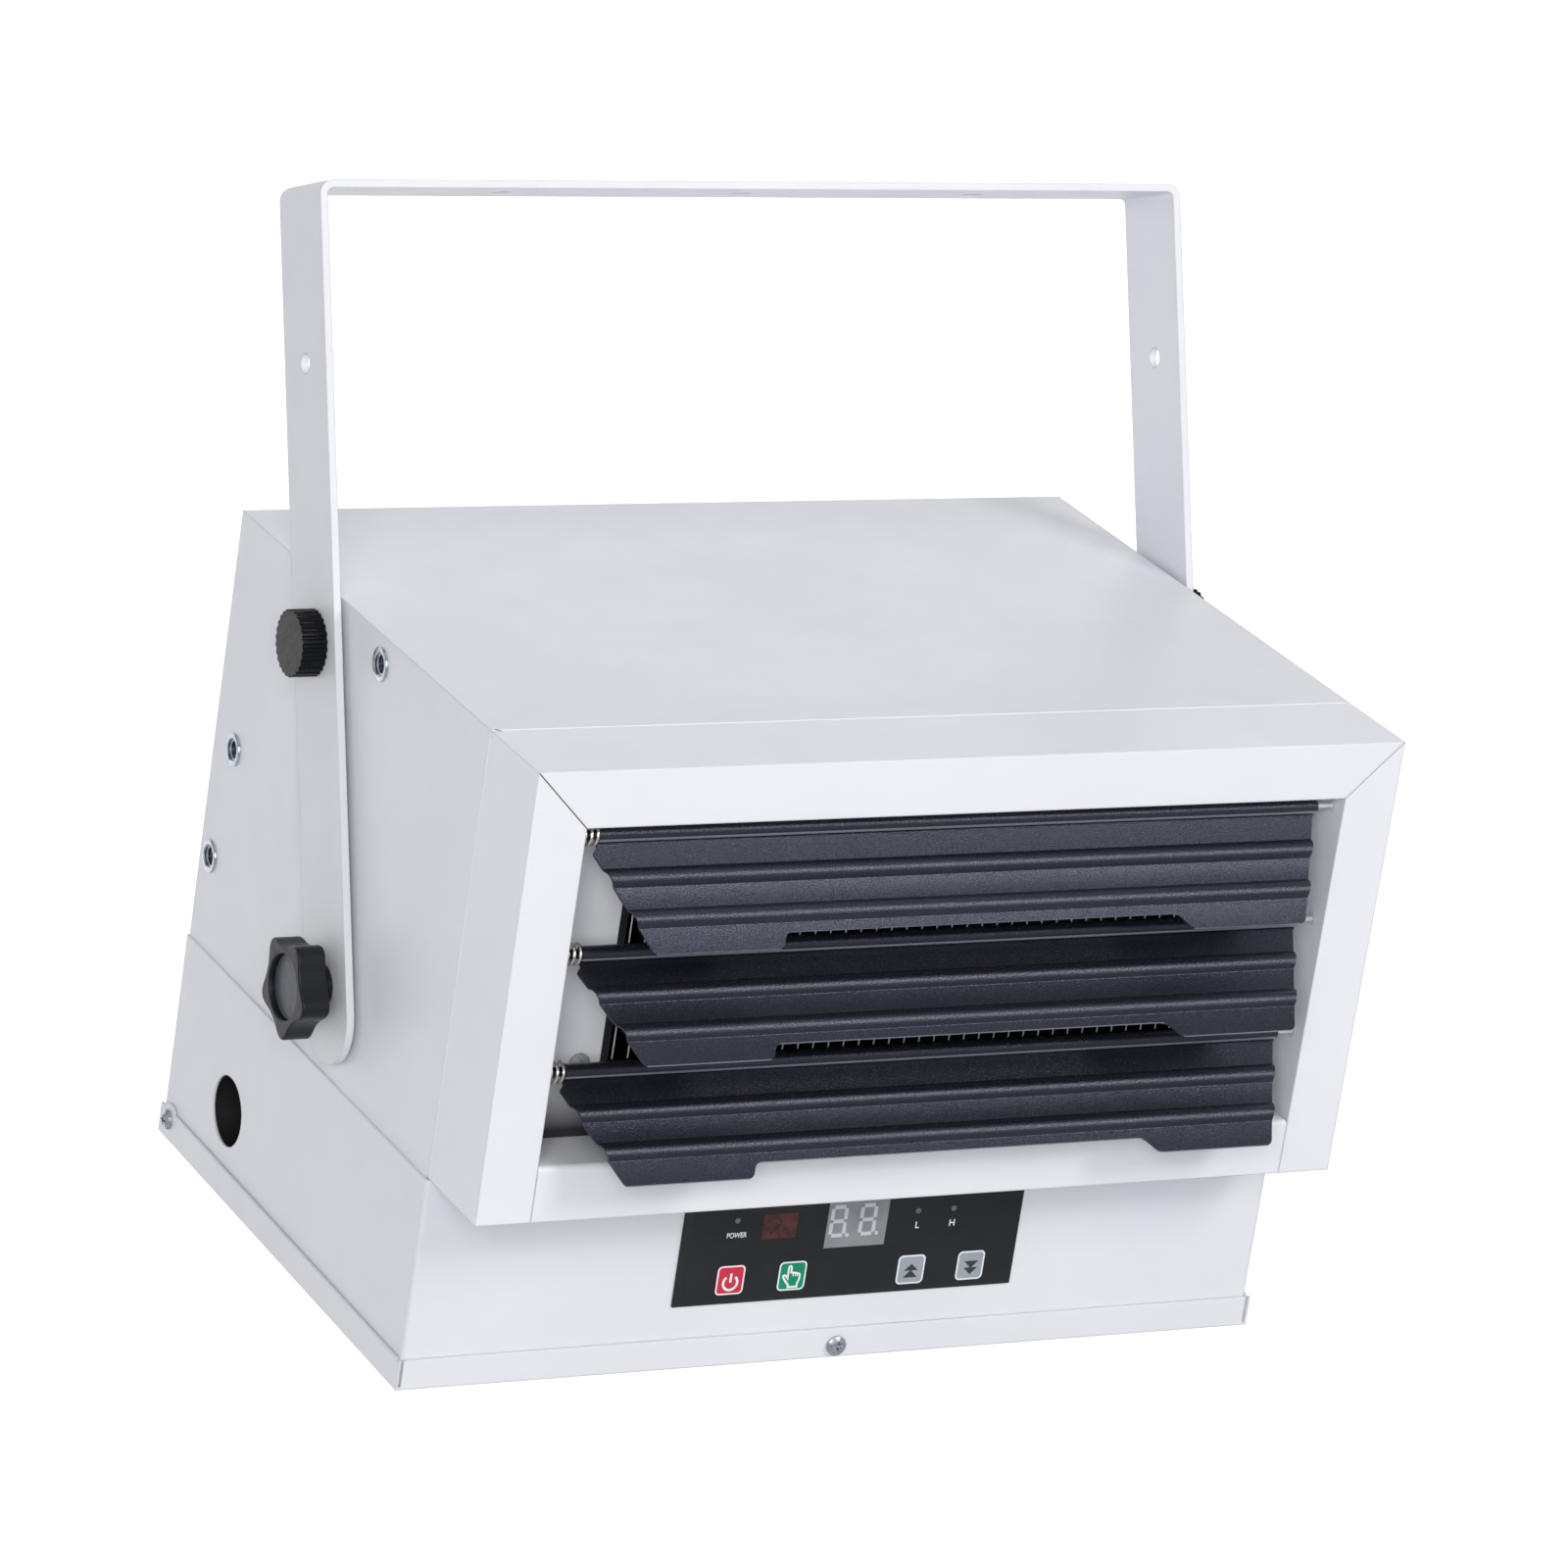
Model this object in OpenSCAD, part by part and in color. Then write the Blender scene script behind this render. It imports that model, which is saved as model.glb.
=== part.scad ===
// Ceiling mounted fan heater: a folded sheet case with a fan behind finned
// elements and three louvres, hung in a U bracket and tilted about two knobs.
// Millimetres. +Z is up and the warm air leaves towards -Y.
// Origin: centre of the bracket's top face, which is fastened to the ceiling.
// The heater's own pieces are drawn level about the tilt pivot and then tilted.

/* [Bracket] */
// Width of the bracket's flat bar
bar_w = 38; // [30:1:44]
// Thickness of the bracket's flat bar
bar_t = 3; // [2:0.5:4]
// Drop from the ceiling face to the tilt pivots
pivot_drop = 300; // [260:5:400]
// Length of the arms below the pivots
arm_tail = 30; // [24:1:34]
// Outside radius of the bracket's two bends
bend_r = 5.5; // [4.5:0.5:10]
// Distance between neighbouring ceiling holes
ceiling_pitch = 102; // [60:1:130]
// Radius of the ceiling and arm holes
fixing_r = 4; // [3:0.1:5]
// Height of the spare arm holes above the pivots
arm_hole_rise = 232.5; // [215:0.5:240]
// Gap between each arm and the case
arm_gap = 2.5; // [2:0.1:5]

/* [Tilt] */
// Nose-down tilt of the heater as drawn
tilt = 22; // [0:1:90]
// Tilts at which a thumb screw meets an insert
tilt_stops = [0, 22, 68, 90];
// Radius of the ring of lock inserts about the pivot
lock_radius = 128; // [120:1:130]

/* [Case] */
// Width of the case over its side panels
case_w = 360; // [300:5:460]
// Distance from the pivot back to the rear of the case
rear_reach = 138; // [136:1:160]
// Distance from the pivot forward to the front panel
front_reach = 96; // [90:1:120]
// Height of the roof above the pivot
roof_rise = 139; // [136:1:160]
// Depth of the lower case's top edge below the pivot
seam_drop = 37; // [34:1:45]
// Depth of the tray's underside below the pivot
base_drop = 121; // [116:1:150]
// Thickness of the case's sheet steel
sheet = 1; // [0.8:0.1:1.2]
// Height of the base tray's upturned rim
tray_rim = 12; // [10:0.5:16]
// Radius of the cable entry in the left side
cable_r = 14; // [8:0.5:16]

/* [Bezel and louvres] */
// Depth of the bezel in front of the front panel
bezel_depth = 41.5; // [38:0.5:60]
// Width of the bezel's face on each side of the outlet
frame_w = 22; // [18:0.5:30]
// Depth of the bezel's inner returns
return_depth = 25; // [22:0.5:30]
// Distance from the outlet's top edge down to the first louvre pivot
louvre_drop = 5.6; // [5:0.1:8]
// Distance between louvre pivots
louvre_pitch = 46; // [44:0.5:50]
// Set-back of the louvre pivots behind the bezel's face
louvre_set = 7.5; // [6:0.5:10]
// Opening angle of each louvre from the case's vertical, top to bottom
louvre_angles = [41.5, 51, 48];
// Length of a louvre from its pivot to its free edge
louvre_len = 45.2; // [40:0.2:46]
// Thickness of a louvre's sheet
vane_t = 0.9; // [0.6:0.1:1.2]
// Outside radius of a louvre's rolled hem
hem_r = 3.25; // [2.8:0.05:3.5]
// Turns in a louvre's spring
spring_turns = 3.5; // [2:0.5:4]

/* [Heating] */
// Distance between neighbouring fins
fin_pitch = 6.4; // [5:0.05:10]
// Width of the outlet left open for the elements
element_w = 252; // [200:2:256]
// Radius of the element tubes
tube_r = 4; // [3:0.25:5]

/* [Fan] */
// Radius of the fan over its blade tips
fan_r = 77; // [60:1:80]
// Number of fan blades
blade_count = 5; // [3:1:7]
// Radius of the motor
motor_r = 41; // [30:1:45]
// Radius of the motor shaft
shaft_r = 4; // [3:0.5:5]

/* [Controls] */
// Width of the membrane panel
panel_w = 144.6; // [140:0.2:150]
// Height of the membrane panel
panel_h = 45; // [44:0.5:48]
// Side of a membrane button
button_w = 12.6; // [10:0.2:13]
// Travel of a membrane button
button_travel = 0.3; // [0.2:0.05:0.4]

/* [Hidden] */
$fn = 48;
eps = 0.01;

half_w = case_w / 2;
rear_y = rear_reach;
front_y = -front_reach;
roof_z = roof_rise;
seam_z = -seam_drop;
base_z = -base_drop;

// bracket
arm_in = half_w + arm_gap;
arm_out = arm_in + bar_t;
stud_r = 4;
stud_gap = 0.05;
stud_hole_r = 4.3;

// lock inserts
insert_flange_r = 7;
insert_flange_t = 1;
insert_body_r = 5.5;
insert_len = 11;
lock_angles = [for (stop = tilt_stops) 90 - stop];

// bezel
bezel_y = front_y - bezel_depth;
bezel_z = seam_z + 0.5;
open_x = half_w - frame_w;
open_top = roof_z - frame_w;
lip_h = 21.7;
open_bottom = bezel_z + lip_h;
return_y = bezel_y + return_depth;
seam_gap = 0.3;

// louvres
hem_y = bezel_y + louvre_set;
hem_z = [for (i = [0:2]) open_top - louvre_drop - i * louvre_pitch];
hem_left = -open_x + 10;
hem_right = open_x - 4.5;
vane_taper = [0.44, 0.352];
vane_tip_x = [open_x - 23.4, open_x - 22];
bead_w = 7.8;
bead_h = 2.2;
bead_at = [12.2, 27.8];
pin_r = 2;
pin_hole_r = 2.08;
spring_r = 4.5;
spring_wire = 1.05;
spring_clear = 0.6;

// lower case and tray
case_corner_r = 2;
lower_out = half_w + sheet;
tray_gap = 0.4;
tray_in = lower_out + tray_gap;
tray_out = tray_in + sheet;
tray_front = front_y - tray_gap - sheet;
tray_rear = rear_y + tray_gap + sheet;
ear_y = rear_y - 7;
ear_z = base_z + 8;
ear_r = 6.5;
cable_y = rear_y - 57;
cable_z = base_z + 33.5;
lap = 12;

// screws
head_r = 4;
head_h = 2.6;
screw_r = 1.8;
screw_hole_r = screw_r + 0.1;

// elements
baffle_y = return_y;
element_x = element_w / 2;
baffle_screw_x = element_x + 8.5;
baffle_screw_z = hem_z[2] - 5;
run_gap = 23;
row_pitch = 2 * run_gap;
element_z = (open_top + open_bottom) / 2 + 4;
element_y = baffle_y + sheet + 20;
tube_gap = 0.1;
fin_t = 0.6;
fin_d = 30;
fin_h = 19;
fin_x0 = -element_x + 8.8;
fin_count = floor(-2 * fin_x0 / fin_pitch);

// fan
collar_r = fan_r + 3;
fan_z = roof_z - sheet - 12 - collar_r;
blade_y = rear_y - 15;
hub_y0 = blade_y - 12;
hub_y1 = blade_y + 6;
motor_y0 = 58;
motor_y1 = 100;
mount_x = 104;
mount_screw_x = mount_x + 8;
mount_screw_z = 8;
motor_screw_x = 28;
shaft_gap = 0.04;

// controls
panel_z0 = base_z + 25.4;
panel_z1 = panel_z0 + panel_h;
panel_t = 0.8;
key_x = [-49, -23, 28, 54];
key_z = panel_z0 + 9.2;
key_gap = 0.3;
led_x = [-49.3, 27.5, 42.9];
led_z = panel_z0 + 33.4;
display_x = [-11.4, 14.4];
display_z = [panel_z0 + 20.2, panel_z0 + 40.2];
ir_x = [-38.7, -24.1];
ir_z = [panel_z0 + 25.7, panel_z0 + 35.9];
board_y = front_y + 11;

WHITE = "#DADBE1";
BLACK = "#1E2023";
VANE = "#33363F";
ZINC = "#B9BDC4";

// ---- helpers ----

// Box between two corners
module block(low, high) translate(low) cube(high - low);

// Round bars along each axis
module rod_x(r, x0, x1, y, z) translate([x0, y, z]) rotate([0, 90, 0]) cylinder(r = r, h = x1 - x0);
module rod_y(r, y0, y1, x, z) translate([x, y1, z]) rotate([90, 0, 0]) cylinder(r = r, h = y1 - y0);
module rod_z(r, z0, z1, x, y) translate([x, y, z0]) cylinder(r = r, h = z1 - z0);

// Flat shape in the Y-Z plane, from x0 to x1
module plate_x(x0, x1) translate([x0, 0, 0]) rotate([90, 0, 90]) linear_extrude(x1 - x0) children();

// Flat shape in the X-Z plane, from y0 to y1
module plate_y(y0, y1) translate([0, y1, 0]) rotate([90, 0, 0]) linear_extrude(y1 - y0) children();

// Rectangle with round corners, made of exact circles and squares
module round_rect(low, high, r) {
    translate(low + [r, 0]) square(high - low - [2 * r, 0]);
    if (high[1] - low[1] > 2 * r) translate(low + [0, r]) square(high - low - [0, 2 * r]);
    for (x = [low[0] + r, high[0] - r], z = [low[1] + r, high[1] - r])
        translate([x, z]) circle(r);
}

// Points of an arc, from angle a0 to a1
function arc(c, r, a0, a1, n = 5) =
    [for (i = [0:n]) c + r * [cos(a0 + (a1 - a0) * i / n), sin(a0 + (a1 - a0) * i / n)]];

// Moves level heater pieces to the tilted heater
module in_heater() translate([0, 0, -pivot_drop]) rotate([tilt, 0, 0]) children();

// Both sides of the heater: side is -1 on the left and 1 on the right
module on_side(side) if (side > 0) mirror([1, 0, 0]) children(); else children();

// Phillips pan head screw along +Y, its head's seat at y = 0 and its shank behind
module pan_screw(len) {
    difference() {
        intersection() {
            rod_y(head_r, -head_h, 0, 0, 0);
            translate([0, 3.9, 0]) sphere(r = 6.5);
        }
        for (turn = [0, 90]) rotate([0, turn, 0]) block([-2.2, -head_h - 1, -0.45], [2.2, -head_h + 1.3, 0.45]);
    }
    rod_y(screw_r, -eps, len, 0, 0);
}

// ---- bracket and its knobs ----

module hanging_bracket() color(WHITE) difference() {
    intersection() {
        plate_y(-bar_w / 2, bar_w / 2) difference() {
            round_rect([-arm_out, -pivot_drop - arm_tail - bend_r], [arm_out, 0], bend_r);
            round_rect([-arm_in, -pivot_drop - 2 * arm_tail], [arm_in, -bar_t], bend_r - bar_t);
        }
        plate_x(-arm_out - 1, arm_out + 1) {
            translate([-bar_w / 2, -pivot_drop - arm_tail + bar_w / 2]) square([bar_w, pivot_drop + arm_tail]);
            translate([0, -pivot_drop - arm_tail + bar_w / 2]) circle(bar_w / 2);
        }
    }
    for (x = [-1:1]) rod_z(fixing_r, -bar_t - 1, 1, x * ceiling_pitch, 0);
    rod_x(fixing_r, -arm_out - 1, arm_out + 1, 0, arm_hole_rise - pivot_drop);
    rod_x(stud_hole_r, -arm_out - 1, arm_out + 1, 0, -pivot_drop);
    rod_x(stud_hole_r, -arm_out - 1, arm_out + 1, 0, lock_radius - pivot_drop);
}

// Moulded star knob: six lobes on a round hub, with a recess for the cap
star_r = 21.8;
star_t = 11.2;
star_hub_r = 12;
star_hub_t = 6;
star_cap_r = 13.6;
star_recess = 3.2;
star_cap_t = 0.9;
star_turn = 8;
knob_seat = 0.2;

module star_knob(side) color(BLACK) on_side(side) translate([-arm_out - knob_seat, 0, -pivot_drop])
    rotate([star_turn, 0, 0]) difference() {
        union() {
            difference() {
                rod_x(star_r, -star_hub_t - star_t, -star_hub_t, 0, 0);
                for (lobe = [0:5]) rotate([30 + lobe * 60, 0, 0])
                    rod_x(9, -star_hub_t - star_t - 1, -star_hub_t + 1, 0, 26.5);
            }
            rod_x(star_hub_r, -star_hub_t - 1, 0, 0, 0);
        }
        rod_x(star_cap_r, -star_hub_t - star_t - 1, -star_hub_t - star_t + star_recess, 0, 0);
        rod_x(stud_r, -star_hub_t - 6, 1, 0, 0);
    }

module star_cap(side) color("#3A3C44") on_side(side)
    translate([-arm_out - knob_seat - star_hub_t - star_t, 0, -pivot_drop])
        rod_x(star_cap_r - 0.4, star_recess - star_cap_t, star_recess, 0, 0);

// The pivot stud runs from the knob's hub through the arm into the pivot insert
module pivot_stud(side) color(ZINC) on_side(side)
    rod_x(stud_r, -arm_out - knob_seat - star_hub_t - 6, -half_w + insert_len - 1, 0, -pivot_drop);

thumb_r = 13.8;
thumb_t = 11;
thumb_flutes = 26;

module thumb_knob(side) color(BLACK) on_side(side) translate([-arm_out - knob_seat, 0, lock_radius - pivot_drop])
    difference() {
        union() {
            rod_x(thumb_r - 0.6, -thumb_t, 0, 0, 0);
            rod_x(thumb_r, -thumb_t + 0.6, -0.6, 0, 0);
        }
        for (i = [0:thumb_flutes - 1]) rotate([i * 360 / thumb_flutes, 0, 0])
            rod_x(0.9, -thumb_t - 1, 1, 0, thumb_r + 0.1);
        rod_x(stud_r, -thumb_t + 3, 1, 0, 0);
    }

// The lock stud reaches through the arm and stops just clear of the insert's flange
module thumb_stud(side) color(ZINC) on_side(side)
    rod_x(stud_r, -arm_out - knob_seat - thumb_t + 3, -half_w - insert_flange_t - 0.3, 0, lock_radius - pivot_drop);

// ---- case ----

// Roof and two sides, folded from one sheet, with flanges for the rear panel
module upper_shell() color(WHITE) difference() {
    union() {
        block([-half_w, front_y + seam_gap, roof_z - sheet], [half_w, rear_y, roof_z]);
        for (side = [-1, 1]) on_side(side) {
            block([-half_w, front_y + seam_gap, seam_z + sheet], [-half_w + sheet, rear_y, roof_z]);
            block([-half_w, front_y + case_corner_r + seam_gap, seam_z - lap], [-half_w + sheet, rear_y, roof_z]);
            block([-half_w, rear_y - 2 * sheet, seam_z - lap], [-half_w + lap, rear_y - sheet, roof_z]);
        }
        block([-half_w, rear_y - 2 * sheet, roof_z - lap], [half_w, rear_y - sheet, roof_z]);
    }
    for (p = rear_screw_at) rod_y(screw_hole_r, rear_y - 3, rear_y + 1, p[0], p[1]);
    for (side = [-1, 1]) on_side(side) {
        rod_x(insert_body_r, -half_w - 1, -half_w + 2 * sheet, 0, 0);
        for (a = lock_angles)
            rod_x(insert_body_r, -half_w - 1, -half_w + 2 * sheet, lock_radius * cos(a), lock_radius * sin(a));
    }
}

module lower_case() color(WHITE) difference() {
    translate([0, 0, base_z + sheet]) linear_extrude(seam_z - base_z - sheet) difference() {
        case_plan(0);
        case_plan(sheet);
    }
    rod_x(cable_r, -lower_out - 1, -half_w + sheet, cable_y, cable_z);
    block([-panel_w / 2 + 10, front_y - 1, panel_z0 + 2.5], [panel_w / 2 - 10, front_y + 2, panel_z1 - 4]);
    rod_y(screw_hole_r, front_y - 1, front_y + 2, 0, base_z + 4.9);
    for (side = [-1, 1]) on_side(side) rod_x(screw_hole_r, -lower_out - 1, -half_w + sheet, ear_y, ear_z);
}

// Outline of the lower case, set in by a wall; open at the rear
module case_plan(wall) {
    r = case_corner_r - wall;
    x = lower_out - wall;
    y = front_y + wall;
    translate([-x, y + r]) square([2 * x, rear_y - y - r + (wall > 0 ? 1 : 0)]);
    translate([-x + r, y]) square([2 * x - 2 * r, r + eps]);
    for (side = [-1, 1]) translate([side * (x - r), y + r]) circle(r);
}

// Floor with an upturned rim outside the lower case, slit at its corners
module base_tray() color(WHITE) difference() {
    union() {
        block([-tray_out, tray_front, base_z], [tray_out, tray_rear, base_z + sheet]);
        for (side = [-1, 1]) on_side(side) {
            block([-tray_out, tray_front, base_z], [-tray_in, tray_rear, base_z + tray_rim]);
            rod_x(ear_r, -tray_out, -tray_in, ear_y, ear_z);
        }
        block([-tray_out, tray_front, base_z], [tray_out, tray_front + sheet, base_z + tray_rim]);
        block([-tray_out, tray_rear - sheet, base_z], [tray_out, tray_rear, base_z + tray_rim]);
    }
    for (side = [-1, 1]) on_side(side) {
        // corner slits and the relief above the front one
        block([-tray_in - 0.2, tray_front - 1, base_z + sheet], [-tray_in + 0.9, tray_front + sheet + 0.1, base_z + 20]);
        block([-tray_in - 0.2, tray_rear - sheet - 0.1, base_z + sheet], [-tray_in + 0.9, tray_rear + 1, base_z + 20]);
        block([-tray_out - 1, tray_front + sheet, base_z + tray_rim - 0.8],
              [-tray_in + 1, tray_front + sheet + 2, base_z + 20]);
        rod_x(screw_hole_r, -tray_out - 1, -tray_in + 1, ear_y, ear_z);
    }
    rod_y(screw_hole_r, tray_front - 1, tray_front + 2, 0, base_z + 4.9);
}

// Rear panel with the fan's collar and cooling slots for the controls
slot_w = 4;
slot_l = 34;

module rear_panel() color(WHITE) difference() {
    union() {
        block([-half_w + sheet + 0.2, rear_y - sheet, base_z + sheet + 0.2],
              [half_w - sheet - 0.2, rear_y, roof_z - sheet - 0.2]);
        rod_y(collar_r + sheet, rear_y - 22, rear_y, 0, fan_z);
    }
    rod_y(collar_r, rear_y - 23, rear_y + 1, 0, fan_z);
    for (x = [-3:2], z = [0:2])
        translate([(x + 0.5) * (slot_l + 10), 0, base_z + 28 + z * 14])
            plate_y(rear_y - 3, rear_y + 1) round_rect([-slot_l / 2, 0], [slot_l / 2, slot_w], slot_w / 2);
    for (x = [-1, 1], z = [-1, 1]) rod_y(screw_hole_r, rear_y - 3, rear_y + 1, x * guard_x, fan_z + z * guard_z);
    for (p = rear_screw_at) rod_y(screw_hole_r, rear_y - 3, rear_y + 1, p[0], p[1]);
}

// ---- bezel ----

// Folded frame round the outlet: face, outer returns and inner returns
module front_bezel() color(WHITE) difference() {
    union() {
        plate_y(bezel_y, bezel_y + sheet) difference() {
            translate([-half_w, bezel_z]) square([case_w, roof_z - bezel_z]);
            translate([-open_x, bezel_z - 1]) square([2 * open_x, open_top - bezel_z + 1]);
        }
        block([-half_w, bezel_y, roof_z - sheet], [half_w, front_y, roof_z]);
        block([-half_w + sheet, bezel_y + sheet, roof_z - 2 * sheet], [half_w - sheet, front_y + lap, roof_z - sheet]);
        block([-open_x - sheet, bezel_y, open_top], [open_x + sheet, return_y, open_top + sheet]);
        for (side = [-1, 1]) on_side(side) {
            block([-half_w, bezel_y, bezel_z], [-half_w + sheet, front_y, roof_z]);
            block([-half_w + sheet, front_y - 2, bezel_z + sheet], [-half_w + 2 * sheet, front_y + lap, roof_z - sheet]);
            block([-open_x - sheet, bezel_y, bezel_z], [-open_x, return_y, open_top + sheet]);
            block([-half_w, bezel_y, bezel_z], [-open_x - sheet, front_y, bezel_z + sheet]);
        }
    }
    for (side = [-1, 1]) on_side(side) {
        // the mitre line of the folded corner, and its relief at the roof
        translate([-half_w, bezel_y, roof_z]) rotate([0, 45, 0])
            block([-1, -1, -0.2], [frame_w * sqrt(2) + 0.8, 0.4, 0.2]);
        rod_z(0.9, roof_z - sheet - 1, roof_z + 1, -half_w + 0.4, front_y);
        for (z = hem_z) rod_x(pin_hole_r, -open_x - 3, -open_x + 1, hem_y, z);
    }
}

// Bottom of the outlet: face, top ledge and underside
module bezel_lip() color(WHITE) {
    x = open_x - seam_gap;
    difference() {
        union() {
            block([-x, bezel_y + case_corner_r, open_bottom - sheet], [x, return_y, open_bottom]);
            block([-x, bezel_y, bezel_z], [x, bezel_y + sheet, open_bottom - case_corner_r]);
            rod_x(case_corner_r, -x, x, bezel_y + case_corner_r, open_bottom - case_corner_r);
        }
        rod_x(case_corner_r - sheet, -x - 1, x + 1, bezel_y + case_corner_r, open_bottom - case_corner_r);
        block([-x - 1, bezel_y + sheet, open_bottom - 2 * case_corner_r],
              [x + 1, bezel_y + 2 * case_corner_r, open_bottom - case_corner_r]);
        block([-x - 1, bezel_y + case_corner_r, open_bottom - 2 * case_corner_r],
              [x + 1, bezel_y + 2 * case_corner_r + 1, open_bottom - sheet]);
    }
    block([-x, bezel_y, bezel_z], [x, front_y, bezel_z + sheet]);
    block([-x, return_y - sheet, open_bottom - 10], [x, return_y, open_bottom]);
}

// Plate behind the louvres that frames the elements
module outlet_baffle() color("#C9CACF") difference() {
    block([-open_x - 12, baffle_y, open_bottom - 8], [open_x + 12, baffle_y + sheet, open_top + 12]);
    block([-element_x, baffle_y - 1, open_bottom + 3], [element_x, baffle_y + 2, open_top - 3]);
    for (x = [-1, 1]) rod_y(screw_hole_r, baffle_y - 1, baffle_y + 2, x * baffle_screw_x, baffle_screw_z);
}

// Shelf between the air way above and the controls below
module partition_plate() color(WHITE) difference() {
    partition_solid();
    for (side = [-1, 1]) on_side(side)
        block([-half_w, rear_y - 2 * sheet - seam_gap, seam_z - 2 * lap], [-half_w + lap + seam_gap, rear_y, seam_z]);
}

module partition_solid() {
    z = seam_z - 3;
    block([-half_w + sheet + seam_gap, front_y + sheet, z], [half_w - sheet - seam_gap, rear_y - sheet, z + sheet]);
    block([-half_w + 3 * sheet, front_y + sheet, z - 7], [half_w - 3 * sheet, front_y + 2 * sheet, z + sheet]);
    for (side = [-1, 1]) on_side(side)
        block([-half_w + sheet + seam_gap, front_y + sheet, z - 9],
              [-half_w + 2 * sheet + seam_gap, rear_y - 2 * sheet - seam_gap, z + sheet]);
}

// ---- lock and pivot inserts ----

// Threaded insert in the left side panel, its flange proud of the sheet
module insert(y, z) difference() {
    union() {
        rod_x(insert_flange_r, -half_w - insert_flange_t, -half_w, y, z);
        rod_x(insert_body_r, -half_w - eps, -half_w + insert_len, y, z);
    }
    rod_x(stud_r + stud_gap, -half_w - insert_flange_t - 1, -half_w + insert_len + 1, y, z);
}

module pivot_inserts() color(ZINC) for (side = [-1, 1]) on_side(side) insert(0, 0);

module lock_inserts() color(ZINC) for (side = [-1, 1], a = lock_angles) on_side(side)
    insert(lock_radius * cos(a), lock_radius * sin(a));

// ---- louvres ----

// One rolled bead of the louvre: offsets down the louvre and out of its face
bead_shape = [[0, 0], [0.5, 0.14], [3.1, 1.86], [3.6, 2.1], [4.1, 2.2], [4.6, 2.1], [5.1, 1.86], [7.3, 0.14], [7.8, 0]];

// Face line of the louvre from its hem to its free edge
vane_line = concat([[0, 0]], [for (at = bead_at, p = bead_shape) [at + p[0] * bead_w / 7.8, p[1] * bead_h / 2.2]],
                   [[louvre_len, 0]]);

// Distance of the left end, side 0, or the right end, side 1, from the middle at s below the hem
function vane_end(side, s) = vane_tip_x[side] + vane_taper[side] * (louvre_len - s);

cut_depth = 5.5;
cut_left = -78.5;
cut_right = 88;
cut_blend = 4;
tip_round = 3.5;
spring_notch = spring_r + 2;

// Flat outline of a louvre, x across and s down from the hem
function vane_outline() = concat(
    [[-vane_end(0, spring_notch), spring_notch], [hem_left, spring_notch], [hem_left, 0], [vane_end(1, 0), 0]],
    arc([vane_tip_x[1] - tip_round + 1.2, louvre_len - tip_round], tip_round, -10, 90, 4),
    arc([cut_right + cut_blend, louvre_len - cut_blend * 0.7], cut_blend * 0.7, 90, 155, 3),
    arc([cut_right - cut_blend, louvre_len - cut_depth + cut_blend * 0.7], cut_blend * 0.7, -25, -90, 3),
    arc([cut_left + cut_blend, louvre_len - cut_depth + cut_blend * 0.7], cut_blend * 0.7, -90, -155, 3),
    arc([cut_left - cut_blend, louvre_len - cut_blend * 0.7], cut_blend * 0.7, 25, 90, 3),
    arc([-vane_tip_x[0] + tip_round - 1.5, louvre_len - tip_round], tip_round, 90, 190, 4));

// Louvre hanging straight down from its pivot at the origin, its face towards -Y
module louvre_level() {
    face = -hem_r + vane_t;
    intersection() {
        translate([-half_w, 0, 0]) rotate([90, 0, 90]) linear_extrude(case_w)
            polygon(concat([for (p = vane_line) [-(p[1] + face), -p[0]]],
                           [for (i = [len(vane_line) - 1:-1:0])
                               [-(vane_line[i][1] + face - vane_t), -vane_line[i][0]]]));
        plate_y(-20, 20) mirror([0, 1]) polygon(vane_outline());
    }
    difference() {
        rod_x(hem_r, hem_left, hem_right, 0, 0);
        rod_x(hem_r - vane_t, hem_left - 1, hem_right + 1, 0, 0);
    }
}

module at_louvre(i) in_heater() translate([0, hem_y, hem_z[i]]) rotate([-louvre_angles[i], 0, 0]) children();

module louvre(i) color(VANE) at_louvre(i) louvre_level();

// Fixed pin at the right end and sprung pin at the left end of the hem
module louvre_pins(i) color(ZINC) at_louvre(i) {
    bore = hem_r - vane_t - 0.05;
    rod_x(pin_r, hem_right - 1, open_x + 4, 0, 0);
    rod_x(bore, hem_right - 16, hem_right - 0.5, 0, 0);
    rod_x(pin_r, -open_x - 4, hem_left + 2, 0, 0);
    rod_x(bore, hem_left + 1, hem_left + 20, 0, 0);
}

// Centre line of the louvre spring: a helix between the bezel and the hem
spring_x0 = -open_x + spring_clear;
spring_len = hem_left - 0.3 - spring_wire / 2 - spring_x0 - spring_wire / 2;
spring_steps = 8 * spring_turns;
function spring_point(i) = [spring_x0 + spring_wire / 2 + spring_len * i / spring_steps,
                            spring_r * cos(360 * i / 8), spring_r * sin(360 * i / 8)];
function spring_lead() = atan2(spring_len / spring_turns, 2 * PI * spring_r);
function spring_ring(i) = [for (k = [0:5])
    let (a = 360 * i / 8, out = [0, cos(a), sin(a)], side = [cos(spring_lead()), sin(a) * sin(spring_lead()), -cos(a) * sin(spring_lead())])
        spring_point(i) + spring_wire / 2 * (cos(60 * k) * out + sin(60 * k) * side)];

module louvre_spring(i) color("#D8DADF") at_louvre(i) polyhedron(
    points = [for (j = [0:spring_steps], p = spring_ring(j)) p],
    faces = concat(
        [[for (k = [0:5]) k]],
        [for (j = [0:spring_steps - 1], k = [0:5])
            [6 * j + k, 6 * j + 6 + k, 6 * j + (k + 1) % 6]],
        [for (j = [0:spring_steps - 1], k = [0:5])
            [6 * j + 6 + k, 6 * j + 6 + (k + 1) % 6, 6 * j + (k + 1) % 6]],
        [[for (k = [5:-1:0]) 6 * spring_steps + k]]));

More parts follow.
